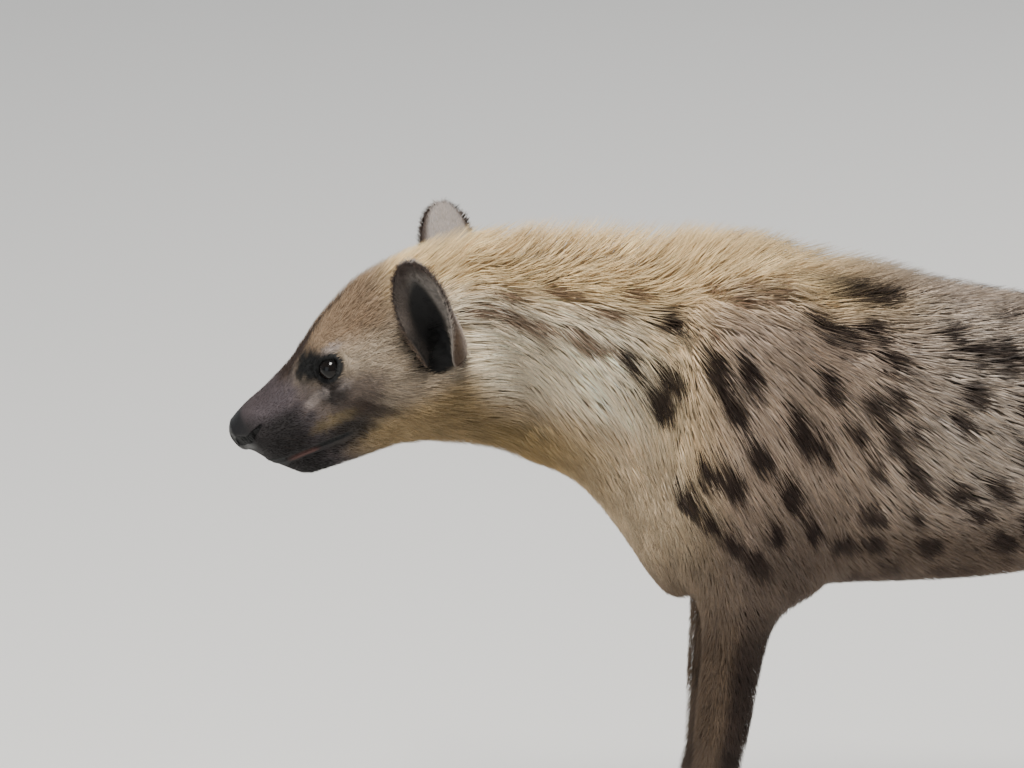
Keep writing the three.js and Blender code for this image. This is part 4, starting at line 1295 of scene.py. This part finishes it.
def add_tufts(name, curve, normals, width, colours, uv, tip_tone, bent=False):
    """One piece of coat: closed three-sided tufts along their root, middle and tip."""
    base, middle, tip, across = curve
    half = across * (width / 2)[:, None]
    thick = normals * (width * TUFT_THICKNESS)[:, None]
    root_colour = colours * ROOT_SHADE
    tip_colour = colours * tip_tone[:, None]
    if bent:
        points = [base, middle + half, middle - half, middle + thick, tip]
        shades = [root_colour, colours, colours, colours, tip_colour]
        faces, patch = SPINDLE_FACES, SPINDLE_PATCH
    else:
        points = [base + half, base - half, base + thick, tip]
        shades = [root_colour, root_colour, root_colour, tip_colour]
        faces, patch = SPIKE_FACES, SPIKE_PATCH
    points = np.stack(points, axis=1)
    offsets = np.arange(len(base))[:, None, None] * points.shape[1]
    faces = (faces[None] + offsets).reshape(-1, 3)
    uv = np.clip(uv[:, None, :] + patch[None] * PATCH * 0.45, 0, 1).reshape(-1, 2)
    shades = np.clip(np.stack(shades, axis=1).reshape(-1, 3), DARKEST_TUFT, 1)
    add_object(name, fill_mesh(name, points.reshape(-1, 3), faces, uv, shades), fur)


def vary(colours, draw, spread=0.1):
    """Each tuft a little lighter or darker, warmer or cooler than its neighbours."""
    tone = np.clip(draw.normal(1.0, spread, len(colours)), 0.6, 1.55)
    warm = draw.normal(0, 0.025, len(colours))
    tint = np.stack([1 + warm, np.ones(len(colours)), 1 - 1.4 * warm], axis=1)
    return colours * tone[:, None] * tint


UPRIGHT_WIDTH = 0.66


def hair_length(points):
    """Length of the hair, depth of the coat, and how upright the hair stands."""
    depth = coat_depth(points)
    mane = np.exp(-((round_body(points) / UPRIGHT_WIDTH) ** 2))
    mane = mane * smooth(-points[:, 0], -60, 20) * (1 - face_share(points))
    slope_length = lerp(1.8, 2.15, fine_share(points) * (1 - leg_share(points)))
    return lerp(slope_length, 1.15, mane) * depth + 3.0, depth, mane


def fine_share(points):
    """The forequarters have the finest hair."""
    return smooth(-points[:, 0], -210, -70)


def hair_width(points, length):
    return lerp(0.85, lerp(1.75, 1.2, fine_share(points)), smooth(length, 8, 45))


def to_outline(tips, normals, depth, mane, share, draw):
    """Brings the tips to a thin band at the animal's outline."""
    x = tips[:, 0]
    low = lerp(-0.3, -0.14, leg_share(tips))
    band = lerp(low, 0.02, draw.uniform(0, 1, len(tips))) + 0.12 * mane
    band = band + 0.24 * crest_share(tips) * smooth(x, 30, 90) * smooth(x, 260, 180)
    wanted = band * depth - 0.6
    move = np.clip(field(body_parts, tips) - wanted, -0.7 * depth, 1.4 * depth)
    return tips - normals * (move * share)[:, None]


def grow_coat(name, roots, normals, bent, seed):
    draw = np.random.default_rng(seed)
    length, depth, mane = hair_length(roots)
    length = length * draw.uniform(0.75, 1.2, len(roots))
    lies = coat_lie(roots, normals)
    lift = np.arcsin(np.clip(depth / length * 1.02, 0.12, 0.92)) * lerp(1.0, 1.12, mane)
    width = hair_width(roots, length) * draw.uniform(0.8, 1.25, len(roots))
    base, middle, tip, across = bend_tufts(
        roots, normals, lies, length, lift, lerp(0.55, 0.8, mane), draw)
    meeting, clump_tone = clump_pull(roots, tip, CLUMP, seed)
    pull = meeting - tip
    together = (0.48 * smooth(length, 16, 44))[:, None]
    tip = tip + pull * together
    middle = middle + pull * together * 0.2
    share = 1 - smooth(in_head(roots)[0], 10, 70) * (roots[:, 0] < -230)
    tip = to_outline(tip, normals, depth, mane, share, draw)
    tip[:, 2] = np.maximum(tip[:, 2], 1.2)
    seen = lerp(middle, tip, SEEN)
    grizzle = lerp(0.12, 0.24, face_share(roots))
    colours = vary(coat_colour(seen), draw, grizzle)
    colours = colours * lerp(1, clump_tone, smooth(length, 12, 30))[:, None]
    tip_tone = lerp(1.14, 1.0, mane) * draw.uniform(0.88, 1.12, len(roots))
    curve = (base, middle, tip, across)
    add_tufts(name, curve, normals, width, colours, unwrap(roots), tip_tone, bent)


# Materials
DRY_ROUGHNESS = 0.75
WET_ROUGHNESS = 0.45


def new_material(name, roughness, shine=0.5):
    material = bpy.data.materials.new(name)
    material.use_nodes = True
    shader = material.node_tree.nodes["Principled BSDF"]
    shader.inputs["Roughness"].default_value = roughness
    shader.inputs["Specular IOR Level"].default_value = shine
    return material, shader


def add_node(material, kind, numbers=(), **sources):
    """A node with plain numbers on some sockets and links into others."""
    node = material.node_tree.nodes.new("ShaderNode" + kind)
    for socket, number in numbers:
        node.inputs[socket].default_value = number
    for socket, source in sources.items():
        material.node_tree.links.new(source, node.inputs[socket])
    return node


def attribute(material, name):
    node = add_node(material, "Attribute")
    node.attribute_name = name
    return node.outputs


def ranged(material, source, low, high):
    span = add_node(material, "MapRange", (("To Min", low), ("To Max", high)), Value=source)
    return span.outputs["Result"]


def coat_material(name, roughness, shine, scale, detail, low, high):
    """The colours of the coat attribute, made a little lighter and darker by a noise."""
    material, shader = new_material(name, roughness, shine)
    place = add_node(material, "TexCoord").outputs["Object"]
    noise = add_node(material, "TexNoise", (("Scale", scale), ("Detail", detail)), Vector=place)
    tint = material.node_tree.nodes.new("ShaderNodeMix")
    tint.data_type = "RGBA"
    tint.blend_type = "MULTIPLY"
    tint.inputs["Factor"].default_value = 1.0
    link = material.node_tree.links.new
    link(attribute(material, "Coat")["Color"], tint.inputs["A"])
    link(ranged(material, noise.outputs["Fac"], low, high), tint.inputs["B"])
    link(tint.outputs["Result"], shader.inputs["Base Color"])
    return material, shader, noise.outputs["Fac"]


def add_bump(material, shader, source, strength, distance):
    numbers = (("Strength", strength), ("Distance", distance))
    relief = add_node(material, "Bump", numbers, Height=source)
    material.node_tree.links.new(relief.outputs["Normal"], shader.inputs["Normal"])


def fur_material():
    return coat_material("coat_fur", 0.68, 0.14, 240.0, 3.0, 0.82, 1.16)[0]


def skin_material():
    material, shader, noise = coat_material("skin_short_fur", 0.7, 0.3, 700.0, 6.0, 0.7, 1.2)
    add_bump(material, shader, noise, 0.5, 0.0008)
    gloss = ranged(material, attribute(material, "Wet")["Fac"], DRY_ROUGHNESS, WET_ROUGHNESS)
    material.node_tree.links.new(gloss, shader.inputs["Roughness"])
    return material


def eye_material():
    return coat_material("eye_wet", 0.07, 0.22, 900.0, 3.0, 0.8, 1.2)[0]


def claw_material():
    material, shader, noise = coat_material("claw_horn", 0.6, 0.3, 300.0, 3.0, 0.7, 1.3)
    add_bump(material, shader, noise, 0.3, 0.0004)
    return material


# Eyeballs, with the cornea's bulge in front
EYE_ROWS = 32
EYE_COLUMNS = 48
EYE_GAP = 0.15
CORNEA_RISE = 0.9
CORNEA_ANGLE = 0.5
IRIS_ANGLE = 0.72
PUPIL_ANGLE = 0.3
IRIS = linear(0.06, 0.038, 0.028)
EYE_WHITE = linear(0.035, 0.028, 0.025)
PUPIL = linear(0.01, 0.01, 0.01)


def eye_colour(polar, around):
    if polar < PUPIL_ANGLE:
        return PUPIL
    if polar > IRIS_ANGLE:
        return EYE_WHITE
    return IRIS * (0.8 + 0.35 * math.sin(around * 23 + 3 * math.sin(around * 5)))


def eyeball(side):
    facing, level, upright = eye_axes(side)
    points = []
    colours = []
    for row in range(EYE_ROWS + 1):
        polar = math.pi * row / EYE_ROWS
        reach = EYE_RADIUS + CORNEA_RISE * math.exp(-((polar / CORNEA_ANGLE) ** 2)) - EYE_GAP
        for column in range(EYE_COLUMNS):
            around = 2 * math.pi * column / EYE_COLUMNS
            direction = math.cos(polar) * facing + math.sin(polar) * (
                math.cos(around) * level + math.sin(around) * upright)
            points.append(eyes[side] + reach * direction)
            colours.append(eye_colour(polar, around))
    faces = []
    for low in range(0, EYE_ROWS * EYE_COLUMNS, EYE_COLUMNS):
        for column in range(EYE_COLUMNS):
            after = (column + 1) % EYE_COLUMNS
            high = low + EYE_COLUMNS
            faces.append((low + column, low + after, high + after, high + column))
    mesh = fill_mesh("eyeball", np.array(points), np.array(faces), None, np.array(colours))
    work = bmesh.new()
    work.from_mesh(mesh)
    bmesh.ops.remove_doubles(work, verts=work.verts, dist=1e-6)
    bmesh.ops.recalc_face_normals(work, faces=work.faces)
    work.to_mesh(mesh)
    work.free()
    return mesh


# Ears: a rounded cup with the same faces inside and out
EAR_HALF_WIDTH = 30.0
EAR_FRONT_SHARES = (0.55, 0.92)
EAR_WALL = 6.5
EAR_ROWS = 46
EAR_COLUMNS = 44


def ear_points(side, rows, columns, wall):
    """Points of the ear's sheet, `wall` outside its inner face."""
    base, up, open_way, across = ear_axes(side)
    rounding = np.sqrt(np.maximum(1 - rows**4, 0.012))
    half = EAR_HALF_WIDTH * (0.72 + 0.72 * rows - 0.42 * rows**2) * rounding
    wrap = lerp(2.1, 0.8, smooth(rows, 0, 0.8))
    radius = half / np.sin(np.minimum(wrap, math.pi / 2))
    angle = wrap * columns
    hollow = radius * (1 - np.cos(angle)) - 0.45 * radius * (1 - np.cos(wrap))
    rise = rows * EAR_HEIGHT - 4
    front = lerp(*EAR_FRONT_SHARES, smooth(rows, 0.05, 0.55))
    reach = np.sin(angle) * (radius + wall) * np.where(columns > 0, front, 1)
    return (
        base
        + rise[:, None] * up
        + reach[:, None] * across
        + (hollow - wall * np.cos(angle))[:, None] * open_way
    )


def ear_dark(rows, columns):
    """How far a place of the ear's inner face lies in its dark hollow."""
    middle = 0.3 - 0.2 * rows
    away = np.sqrt(((columns - middle) / 0.5) ** 2 + ((rows - 0.38) / 0.46) ** 2)
    return smooth(away, 1.2, 0.7)


EAR_REAR_RIM = linear(0.50, 0.47, 0.44)
EAR_FRONT_RIM = linear(0.30, 0.27, 0.25)
EAR_EDGE = linear(0.25, 0.21, 0.19)
EAR_HOLLOW = linear(0.035, 0.03, 0.03)
EAR_BACK = linear(0.55, 0.52, 0.50)


def ear_colours(rows, columns, outside):
    if outside:
        return mix(
            plain(EAR_BACK, rows),
            (EAR_EDGE, smooth(np.abs(columns), 0.6, 0.9)),
            (BROW, 0.35 * smooth(rows, 0.5, 0.2)),
        )
    # Painted shade: the lower front of the inner face is painted dark where the ear's front edge
    # meets the head
    low_front_shade = smooth(rows, 0.46, 0.2) * smooth(columns, 0.0, 0.35)
    return mix(
        plain(EAR_REAR_RIM, rows),
        (EAR_FRONT_RIM, smooth(columns, 0.1, 0.6)),
        (EAR_EDGE, smooth(rows, 0.72, 0.98)),
        (EAR_HOLLOW, ear_dark(rows, columns)),
        (EAR_HOLLOW, 0.85 * low_front_shade),
    )


def ear_mesh(side):
    rows, columns = np.meshgrid(
        np.sin(np.linspace(0, math.pi / 2, EAR_ROWS)), np.linspace(-1, 1, EAR_COLUMNS), indexing="ij")
    rows = rows.ravel()
    columns = columns.ravel()
    thickness = EAR_WALL * (1 - 0.4 * rows) * (1 - 0.3 * columns**4)
    inner = ear_points(side, rows, columns, 0.0 * rows)
    outer = ear_points(side, rows, columns, thickness)
    count = len(rows)
    grid = np.arange(count).reshape(EAR_ROWS, EAR_COLUMNS)
    a, b, c, d = grid[:-1, :-1], grid[:-1, 1:], grid[1:, 1:], grid[1:, :-1]
    front = np.stack([a, b, c, d], axis=-1).reshape(-1, 4)
    back = front[:, ::-1] + count
    loop = np.concatenate([grid[0, :-1], grid[:-1, -1], grid[-1, :0:-1], grid[:0:-1, 0]])
    after = np.roll(loop, -1)
    rim = np.stack([after, loop, loop + count, after + count], axis=1)
    points = np.concatenate([inner, outer])
    faces = np.concatenate([front, back, rim])
    middle = points[front[len(front) // 2]]
    facing = np.cross(middle[1] - middle[0], middle[2] - middle[0])
    if np.dot(facing, ear_axes(side)[2]) < 0:
        faces = faces[:, ::-1]
    colours = np.concatenate([ear_colours(rows, columns, False), ear_colours(rows, columns, True)])
    return points, faces, colours, np.tile(rows, 2), np.tile(columns, 2)


def build_skin():
    mesh, points = build_skin_points()
    mesh.vertices.foreach_set("co", points.astype(np.float32).ravel())
    mesh.update()
    return mesh, points, vertex_vectors(mesh, "normal")


def finish_skin(mesh, points, material):
    mesh.vertices.foreach_set("co", ((points + shift) * MM).astype(np.float32).ravel())
    paint(mesh, "Coat", coat_colour(points) * SKIN_SHADE)
    t, v, w = in_head(points)
    wet = smooth(t, 244, 254) * smooth(v, -12, -6) * smooth(-points[:, 0], 200, 220)
    nose = in_box(points, nose_pad)
    wet[nose] *= smooth(in_nostrils(points[nose]), 0.2, 1.5)
    layer = mesh.attributes.new("Wet", "FLOAT", "POINT")
    layer.data.foreach_set("value", wet.astype(np.float32))
    mesh.polygons.foreach_set("use_smooth", np.ones(len(mesh.polygons), bool))
    mesh.update()
    nodes = ["head", "lower_jaw", "nose", "neck", "torso", "tail"]
    nodes += [f"{part}_{word}" for part in ("foreleg", "hindleg", "forepaw", "hindpaw")
              for side, word in SIDES]
    return add_object("skin", mesh, material, nodes)


skin_mesh, skin_points, skin_normals = build_skin()
fur = fur_material()
skin_look = skin_material()
finish_skin(skin_mesh, skin_points, skin_look)

# How many tufts deep the coat covers the skin, where its hair is short and where it is long
SHORT_COVER = 1.5
LONG_COVER = (3.7, 4.1)
LEG_THINNING = 0.2


def coat_density(points):
    """Tufts for each square millimetre."""
    length = hair_length(points)[0]
    short = SHORT_COVER * (1 - LEG_THINNING * leg_share(points))
    cover = lerp(short, lerp(*LONG_COVER, fine_share(points)), smooth(length, 10, 36))
    return cover / (0.5 * hair_width(points, length) * length) * (1 - bare_share(points))


def bare_share(points):
    """Nose leather, lips, the eyes' openings and the soles have no hair."""
    t, v, w = in_head(points)
    bare = smooth(t, 246, 251) * smooth(v, -20, -14) * (points[:, 0] < -200)
    above = above_mouth(t, v)
    lips = smooth(np.abs(above + 1.5), 6.5, 4.0) * smooth(t, 150, 165) * (points[:, 0] < -200)
    bare = np.maximum(bare, lips)
    for side, centre in eyes.items():
        close = np.linalg.norm(points - centre, axis=1) < 24
        rim = round_eye(points, side, 14.5, 11)
        bare = np.maximum(bare, smooth(rim, 1.1, 0.95) * close)
    bare = np.maximum(bare, in_ear_pit(points) < 3)
    on_dock = (points[:, 2] < 640) & (height_over(dock, points) < 3)
    return np.maximum(bare, on_dock | (points[:, 2] < 4))


PIECE_LIMITS = ((330, "barrel"), (150, "shoulder"), (10, "withers"), (-90, "neck"))
RUMP_LIMIT = 470
LEG_PIECES = ((400, "coat_elbows", "coat_thighs"), (300, "coat_forelegs", "coat_hindlegs"))


def piece_of(points):
    """Which piece of the coat a root belongs to."""
    x, y, z = points.T
    t = in_head(points)[0]
    side = np.where(y < 0, "left", "right")
    names = np.full(len(points), "coat_flank", object)
    for limit, word in PIECE_LIMITS:
        here = x < limit
        names[here] = [f"coat_{word}_{way}" for way in side[here]]
    here = x > RUMP_LIMIT
    names[here] = [f"coat_rump_{way}" for way in side[here]]
    names[(t > -20) & (x < -215)] = "coat_head"
    for limit, front, rear in LEG_PIECES:
        names[(z < limit) & (x < MID_LENGTH)] = front
        names[(z < limit) & (x > MID_LENGTH)] = rear
    return names


def grow_body_coat():
    draw = np.random.default_rng(SEED)
    roots, normals = draw_roots(skin_mesh, skin_points, skin_normals, coat_density, draw)
    names = piece_of(roots)
    for number, name in enumerate(sorted(set(names))):
        bent = name not in ("coat_head", "coat_forelegs", "coat_hindlegs")
        chosen = names == name
        grow_coat(name, roots[chosen], normals[chosen], bent, SEED + number)


BRUSH_TUFTS = 7000
BRUSH_LENGTHS = (26, 88)
BRUSH_WIDTHS = (1.2, 2.2)
BRUSH_CLUMP = 20.0
BRUSH_TIP_TONE = 1.2


def grow_brush():
    """The tail's long hair, hanging from the dock."""
    count = BRUSH_TUFTS
    draw = np.random.default_rng(SEED + 50)
    share = draw.uniform(0.0, 1.0, count) ** 0.8
    around = draw.uniform(0, 2 * math.pi, count)
    reach = np.interp(share, TABLE_SHARES, dock["reach"][0])
    outward = np.cos(around)[:, None] * dock["upward"] + np.sin(around)[:, None] * dock["sideways"]
    roots = dock["start"] + share[:, None] * dock["length"] * dock["axis"]
    roots = roots + outward * (reach * 0.9)[:, None]
    length = lerp(*BRUSH_LENGTHS, smooth(share, 0.05, 0.45)) * draw.uniform(0.7, 1.1, count)
    lies = np.tile(dock["axis"], (count, 1))
    width = draw.uniform(*BRUSH_WIDTHS, count)
    curve = bend_tufts(roots, outward, lies, length, lerp(0.4, 0.22, share), 0.1, draw)
    base, middle, tip, across = curve
    tip = tip + (clump_pull(roots, tip, BRUSH_CLUMP, 77)[0] - tip) * 0.3
    tone = smooth(share, 0.12, 0.4)[:, None]
    colours = vary(lerp(GREY_BROWN, BRUSH, tone), draw, 0.2)
    curve = (base, middle, tip, across)
    add_tufts("coat_tail", curve, outward, width, colours, unwrap(roots),
              np.full(count, BRUSH_TIP_TONE), True)


EAR_TUFTS = 11000
EAR_HAIR_LENGTHS = (6.0, 8.0)
EAR_HAIR_WIDTHS = (0.7, 1.1)
EAR_HOLLOW_THINNING = 0.93
EAR_TIP_TONE = 1.15
FRONT_EDGE_HAIR = 3.0


def draw_ear_roots(side, draw):
    """Roots over an ear: place, normal, colour, row and column, and whether they lie inside."""
    points, faces, colours, rows, columns = ear_mesh(side)
    corners = np.concatenate([faces[:, [0, 1, 2]], faces[:, [0, 2, 3]]])
    normals, area, centres = measure_triangles(points, corners)
    inside = corners.max(axis=1) < len(points) // 2
    deep = inside * ear_dark(rows[corners].mean(axis=1), columns[corners].mean(axis=1))
    weight = np.cumsum(area * (1 - EAR_HOLLOW_THINNING * deep))
    picks = draw.uniform(0, weight[-1], EAR_TUFTS)
    chosen = np.minimum(np.searchsorted(weight, picks), len(weight) - 1)
    shares = draw.dirichlet((1, 1, 1), EAR_TUFTS)
    roots, tint, place = (
        spread(values, corners[chosen], shares)
        for values in (points, colours, np.stack([rows, columns], axis=1)))
    return roots, normals[chosen], tint, place[:, 0], place[:, 1], inside[chosen]


def unwrap_ear(side, row, column, inside):
    across = 0.02 + 0.22 * (column + 1) / 2 + 0.25 * (side > 0) + 0.5 * inside
    return np.stack([across, 0.88 + 0.1 * row], axis=1)


def grow_ear_coat(side, word):
    """Short hair over the ear, longer along its rim and its front edge."""
    draw = np.random.default_rng(SEED + 60 + side)
    roots, normals, tint, row, column, inside = draw_ear_roots(side, draw)
    base, up, open_way, across = ear_axes(side)
    rim = np.maximum(smooth(np.abs(column), 0.75, 1.0), smooth(row, 0.9, 1.0))
    edge = column[:, None] * across[None]
    lies = flatten_to(up[None] * (0.75 - 0.4 * row[:, None]) + 0.55 * edge * rim[:, None], normals)
    front = smooth(column * np.sign(across @ head_forward), 0.5, 0.9) * inside
    length = lerp(*EAR_HAIR_LENGTHS, rim) + FRONT_EDGE_HAIR * front * (1 - row)
    length = length * draw.uniform(0.75, 1.2, EAR_TUFTS)
    curve = bend_tufts(roots, normals, lies, length, 0.42, 0.6, draw)
    width = draw.uniform(*EAR_HAIR_WIDTHS, EAR_TUFTS)
    add_tufts(f"coat_ear_{word}", curve, normals, width, vary(tint, draw),
              unwrap_ear(side, row, column, inside), np.full(EAR_TUFTS, EAR_TIP_TONE))


# Whiskers: places of their roots along and up the head
WHISKER_ROWS = ((212, -2), (224, -4), (206, -10), (220, -12), (232, -13), (214, -19), (228, -20))
WHISKERS_A_ROOT = 2
WHISKER_WIDTH = 0.5
WHISKER_LENGTHS = (24, 46)


def grow_whiskers():
    draw = np.random.default_rng(SEED + 70)
    roots = []
    lies = []
    for side, word in SIDES:
        outward = side * head_right
        for t, v in WHISKER_ROWS * WHISKERS_A_ROOT:
            inside = on_head(t + draw.uniform(-4, 4), v + draw.uniform(-2, 2))
            roots.append(inside + outward * cast(outline_height, inside, outward))
            lies.append(-0.9 * head_forward + 0.55 * outward - 0.55 * head_up)
    count = len(roots)
    roots = np.array(roots)
    lies = unit(np.array(lies) + draw.normal(0, 0.12, (count, 3)))
    normals = flatten_to(np.tile(head_up, (count, 1)), lies)
    length = draw.uniform(*WHISKER_LENGTHS, count)
    curve = bend_tufts(roots - 3 * lies, normals, lies, length, 0.1, -1.2, draw)
    add_tufts("whiskers", curve, normals, np.full(count, WHISKER_WIDTH),
              plain(WHISKER, roots), unwrap(roots), np.ones(count), True)


def build_ears():
    for side, word in SIDES:
        points, faces, colours, rows, columns = ear_mesh(side)
        mesh = fill_mesh(f"ear_skin_{word}", points, faces, None, colours)
        add_object(f"ear_skin_{word}", mesh, skin_look, [f"ear_{word}"])


def build_eyes():
    look = eye_material()
    for side, word in SIDES:
        add_object(f"eyeball_{word}", eyeball(side), look, [f"eye_{word}"])


def loft_mesh_arrays(shape, ring_count=7, sides=12):
    shares = np.linspace(0, 1, ring_count)
    reach = [np.interp(shares, TABLE_SHARES, column) for column in shape["reach"]]
    angles = 2 * math.pi * np.arange(sides) / sides
    points = []
    for share, up_reach, down_reach, side_reach in zip(shares, *reach):
        for angle in angles:
            tall = math.cos(angle) * (up_reach if math.cos(angle) > 0 else down_reach)
            points.append(
                shape["start"] + share * shape["length"] * shape["axis"]
                + tall * shape["upward"] + math.sin(angle) * side_reach * shape["sideways"])
    points.append(shape["start"] - shape["caps"][0] * shape["axis"])
    points.append(shape["start"] + (shape["length"] + shape["caps"][1]) * shape["axis"])
    faces = []
    for row in range(ring_count - 1):
        for k in range(sides):
            after = (k + 1) % sides
            low = row * sides
            faces.append((low + k, low + after, low + sides + after))
            faces.append((low + k, low + sides + after, low + sides + k))
    last = (ring_count - 1) * sides
    for k in range(sides):
        after = (k + 1) % sides
        faces.append((after, k, len(points) - 2))
        faces.append((last + k, last + after, len(points) - 1))
    return np.array(points), np.array(faces)


def build_claws():
    points = []
    faces = []
    total = 0
    for limb_parts, ankle, scale in limbs.values():
        for shape in claws(ankle, scale):
            own_points, own_faces = loft_mesh_arrays(shape)
            points.append(own_points)
            faces.append(own_faces + total)
            total += len(own_points)
    points = np.concatenate(points)
    mesh = fill_mesh("claws", points, np.concatenate(faces), None, plain(HORN, points))
    add_object("claws", mesh, claw_material())


# Stage, lights and camera
FLOOR_SIZE = 14
FLOOR_COLOUR = (0.78, 0.77, 0.75, 1)
SKY_COLOUR = (0.86, 0.89, 0.93, 1)
SKY_STRENGTH = 0.55
LIGHTS_AIM = Vector((0, 0, 0.6))
# Lights: name, place, energy, size and colour
LIGHTS = (
    ("key", (-0.9, -1.9, 4.4), 340, 1.3, (1.0, 0.97, 0.91)),
    ("fill", (-3.2, -3.0, 1.6), 40, 3.0, (0.93, 0.96, 1.0)),
    ("back", (2.4, 2.6, 3.0), 60, 2.4, (1.0, 0.98, 0.95)),
)


def build_stage():
    bpy.ops.mesh.primitive_plane_add(size=FLOOR_SIZE, location=(0, 0, 0))
    floor = bpy.context.object
    floor.name = "floor"
    material, shader = new_material("pale_floor", 0.9)
    shader.inputs["Base Color"].default_value = FLOOR_COLOUR
    floor.data.materials.append(material)
    world = bpy.data.worlds.new("studio")
    world.use_nodes = True
    background = world.node_tree.nodes["Background"]
    background.inputs["Color"].default_value = SKY_COLOUR
    background.inputs["Strength"].default_value = SKY_STRENGTH
    bpy.context.scene.world = world


def add_light(name, place, energy, size, colour):
    data = bpy.data.lights.new(name, "AREA")
    data.energy = energy
    data.size = size
    data.color = colour
    light = bpy.data.objects.new(name, data)
    light.location = place
    light.rotation_euler = (LIGHTS_AIM - Vector(place)).to_track_quat("-Z", "Y").to_euler()
    bpy.context.scene.collection.objects.link(light)


CAMERA_AZIMUTH = math.radians(-6)
CAMERA_HEIGHT_ANGLE = math.radians(17)
CAMERA_DISTANCE = 7.0
CAMERA_LENS = 239.0
CAMERA_AIM = np.array([-214.0, 0.0, 659.4])


def build_camera():
    data = bpy.data.cameras.new("camera")
    data.lens = CAMERA_LENS
    data.clip_end = 60
    camera = bpy.data.objects.new("camera", data)
    level = math.cos(CAMERA_HEIGHT_ANGLE)
    direction = Vector((
        math.sin(CAMERA_AZIMUTH) * level, -math.cos(CAMERA_AZIMUTH) * level,
        math.sin(CAMERA_HEIGHT_ANGLE)))
    aim = Vector((CAMERA_AIM + shift) * MM)
    camera.location = aim + direction * CAMERA_DISTANCE
    camera.rotation_euler = (-direction).to_track_quat("-Z", "Y").to_euler()
    bpy.context.scene.collection.objects.link(camera)
    bpy.context.scene.camera = camera


build_camera()
build_eyes()
build_ears()
build_claws()
grow_body_coat()
grow_brush()
grow_whiskers()
for ear_side, ear_word in SIDES:
    grow_ear_coat(ear_side, ear_word)
build_stage()
for light_values in LIGHTS:
    add_light(*light_values)
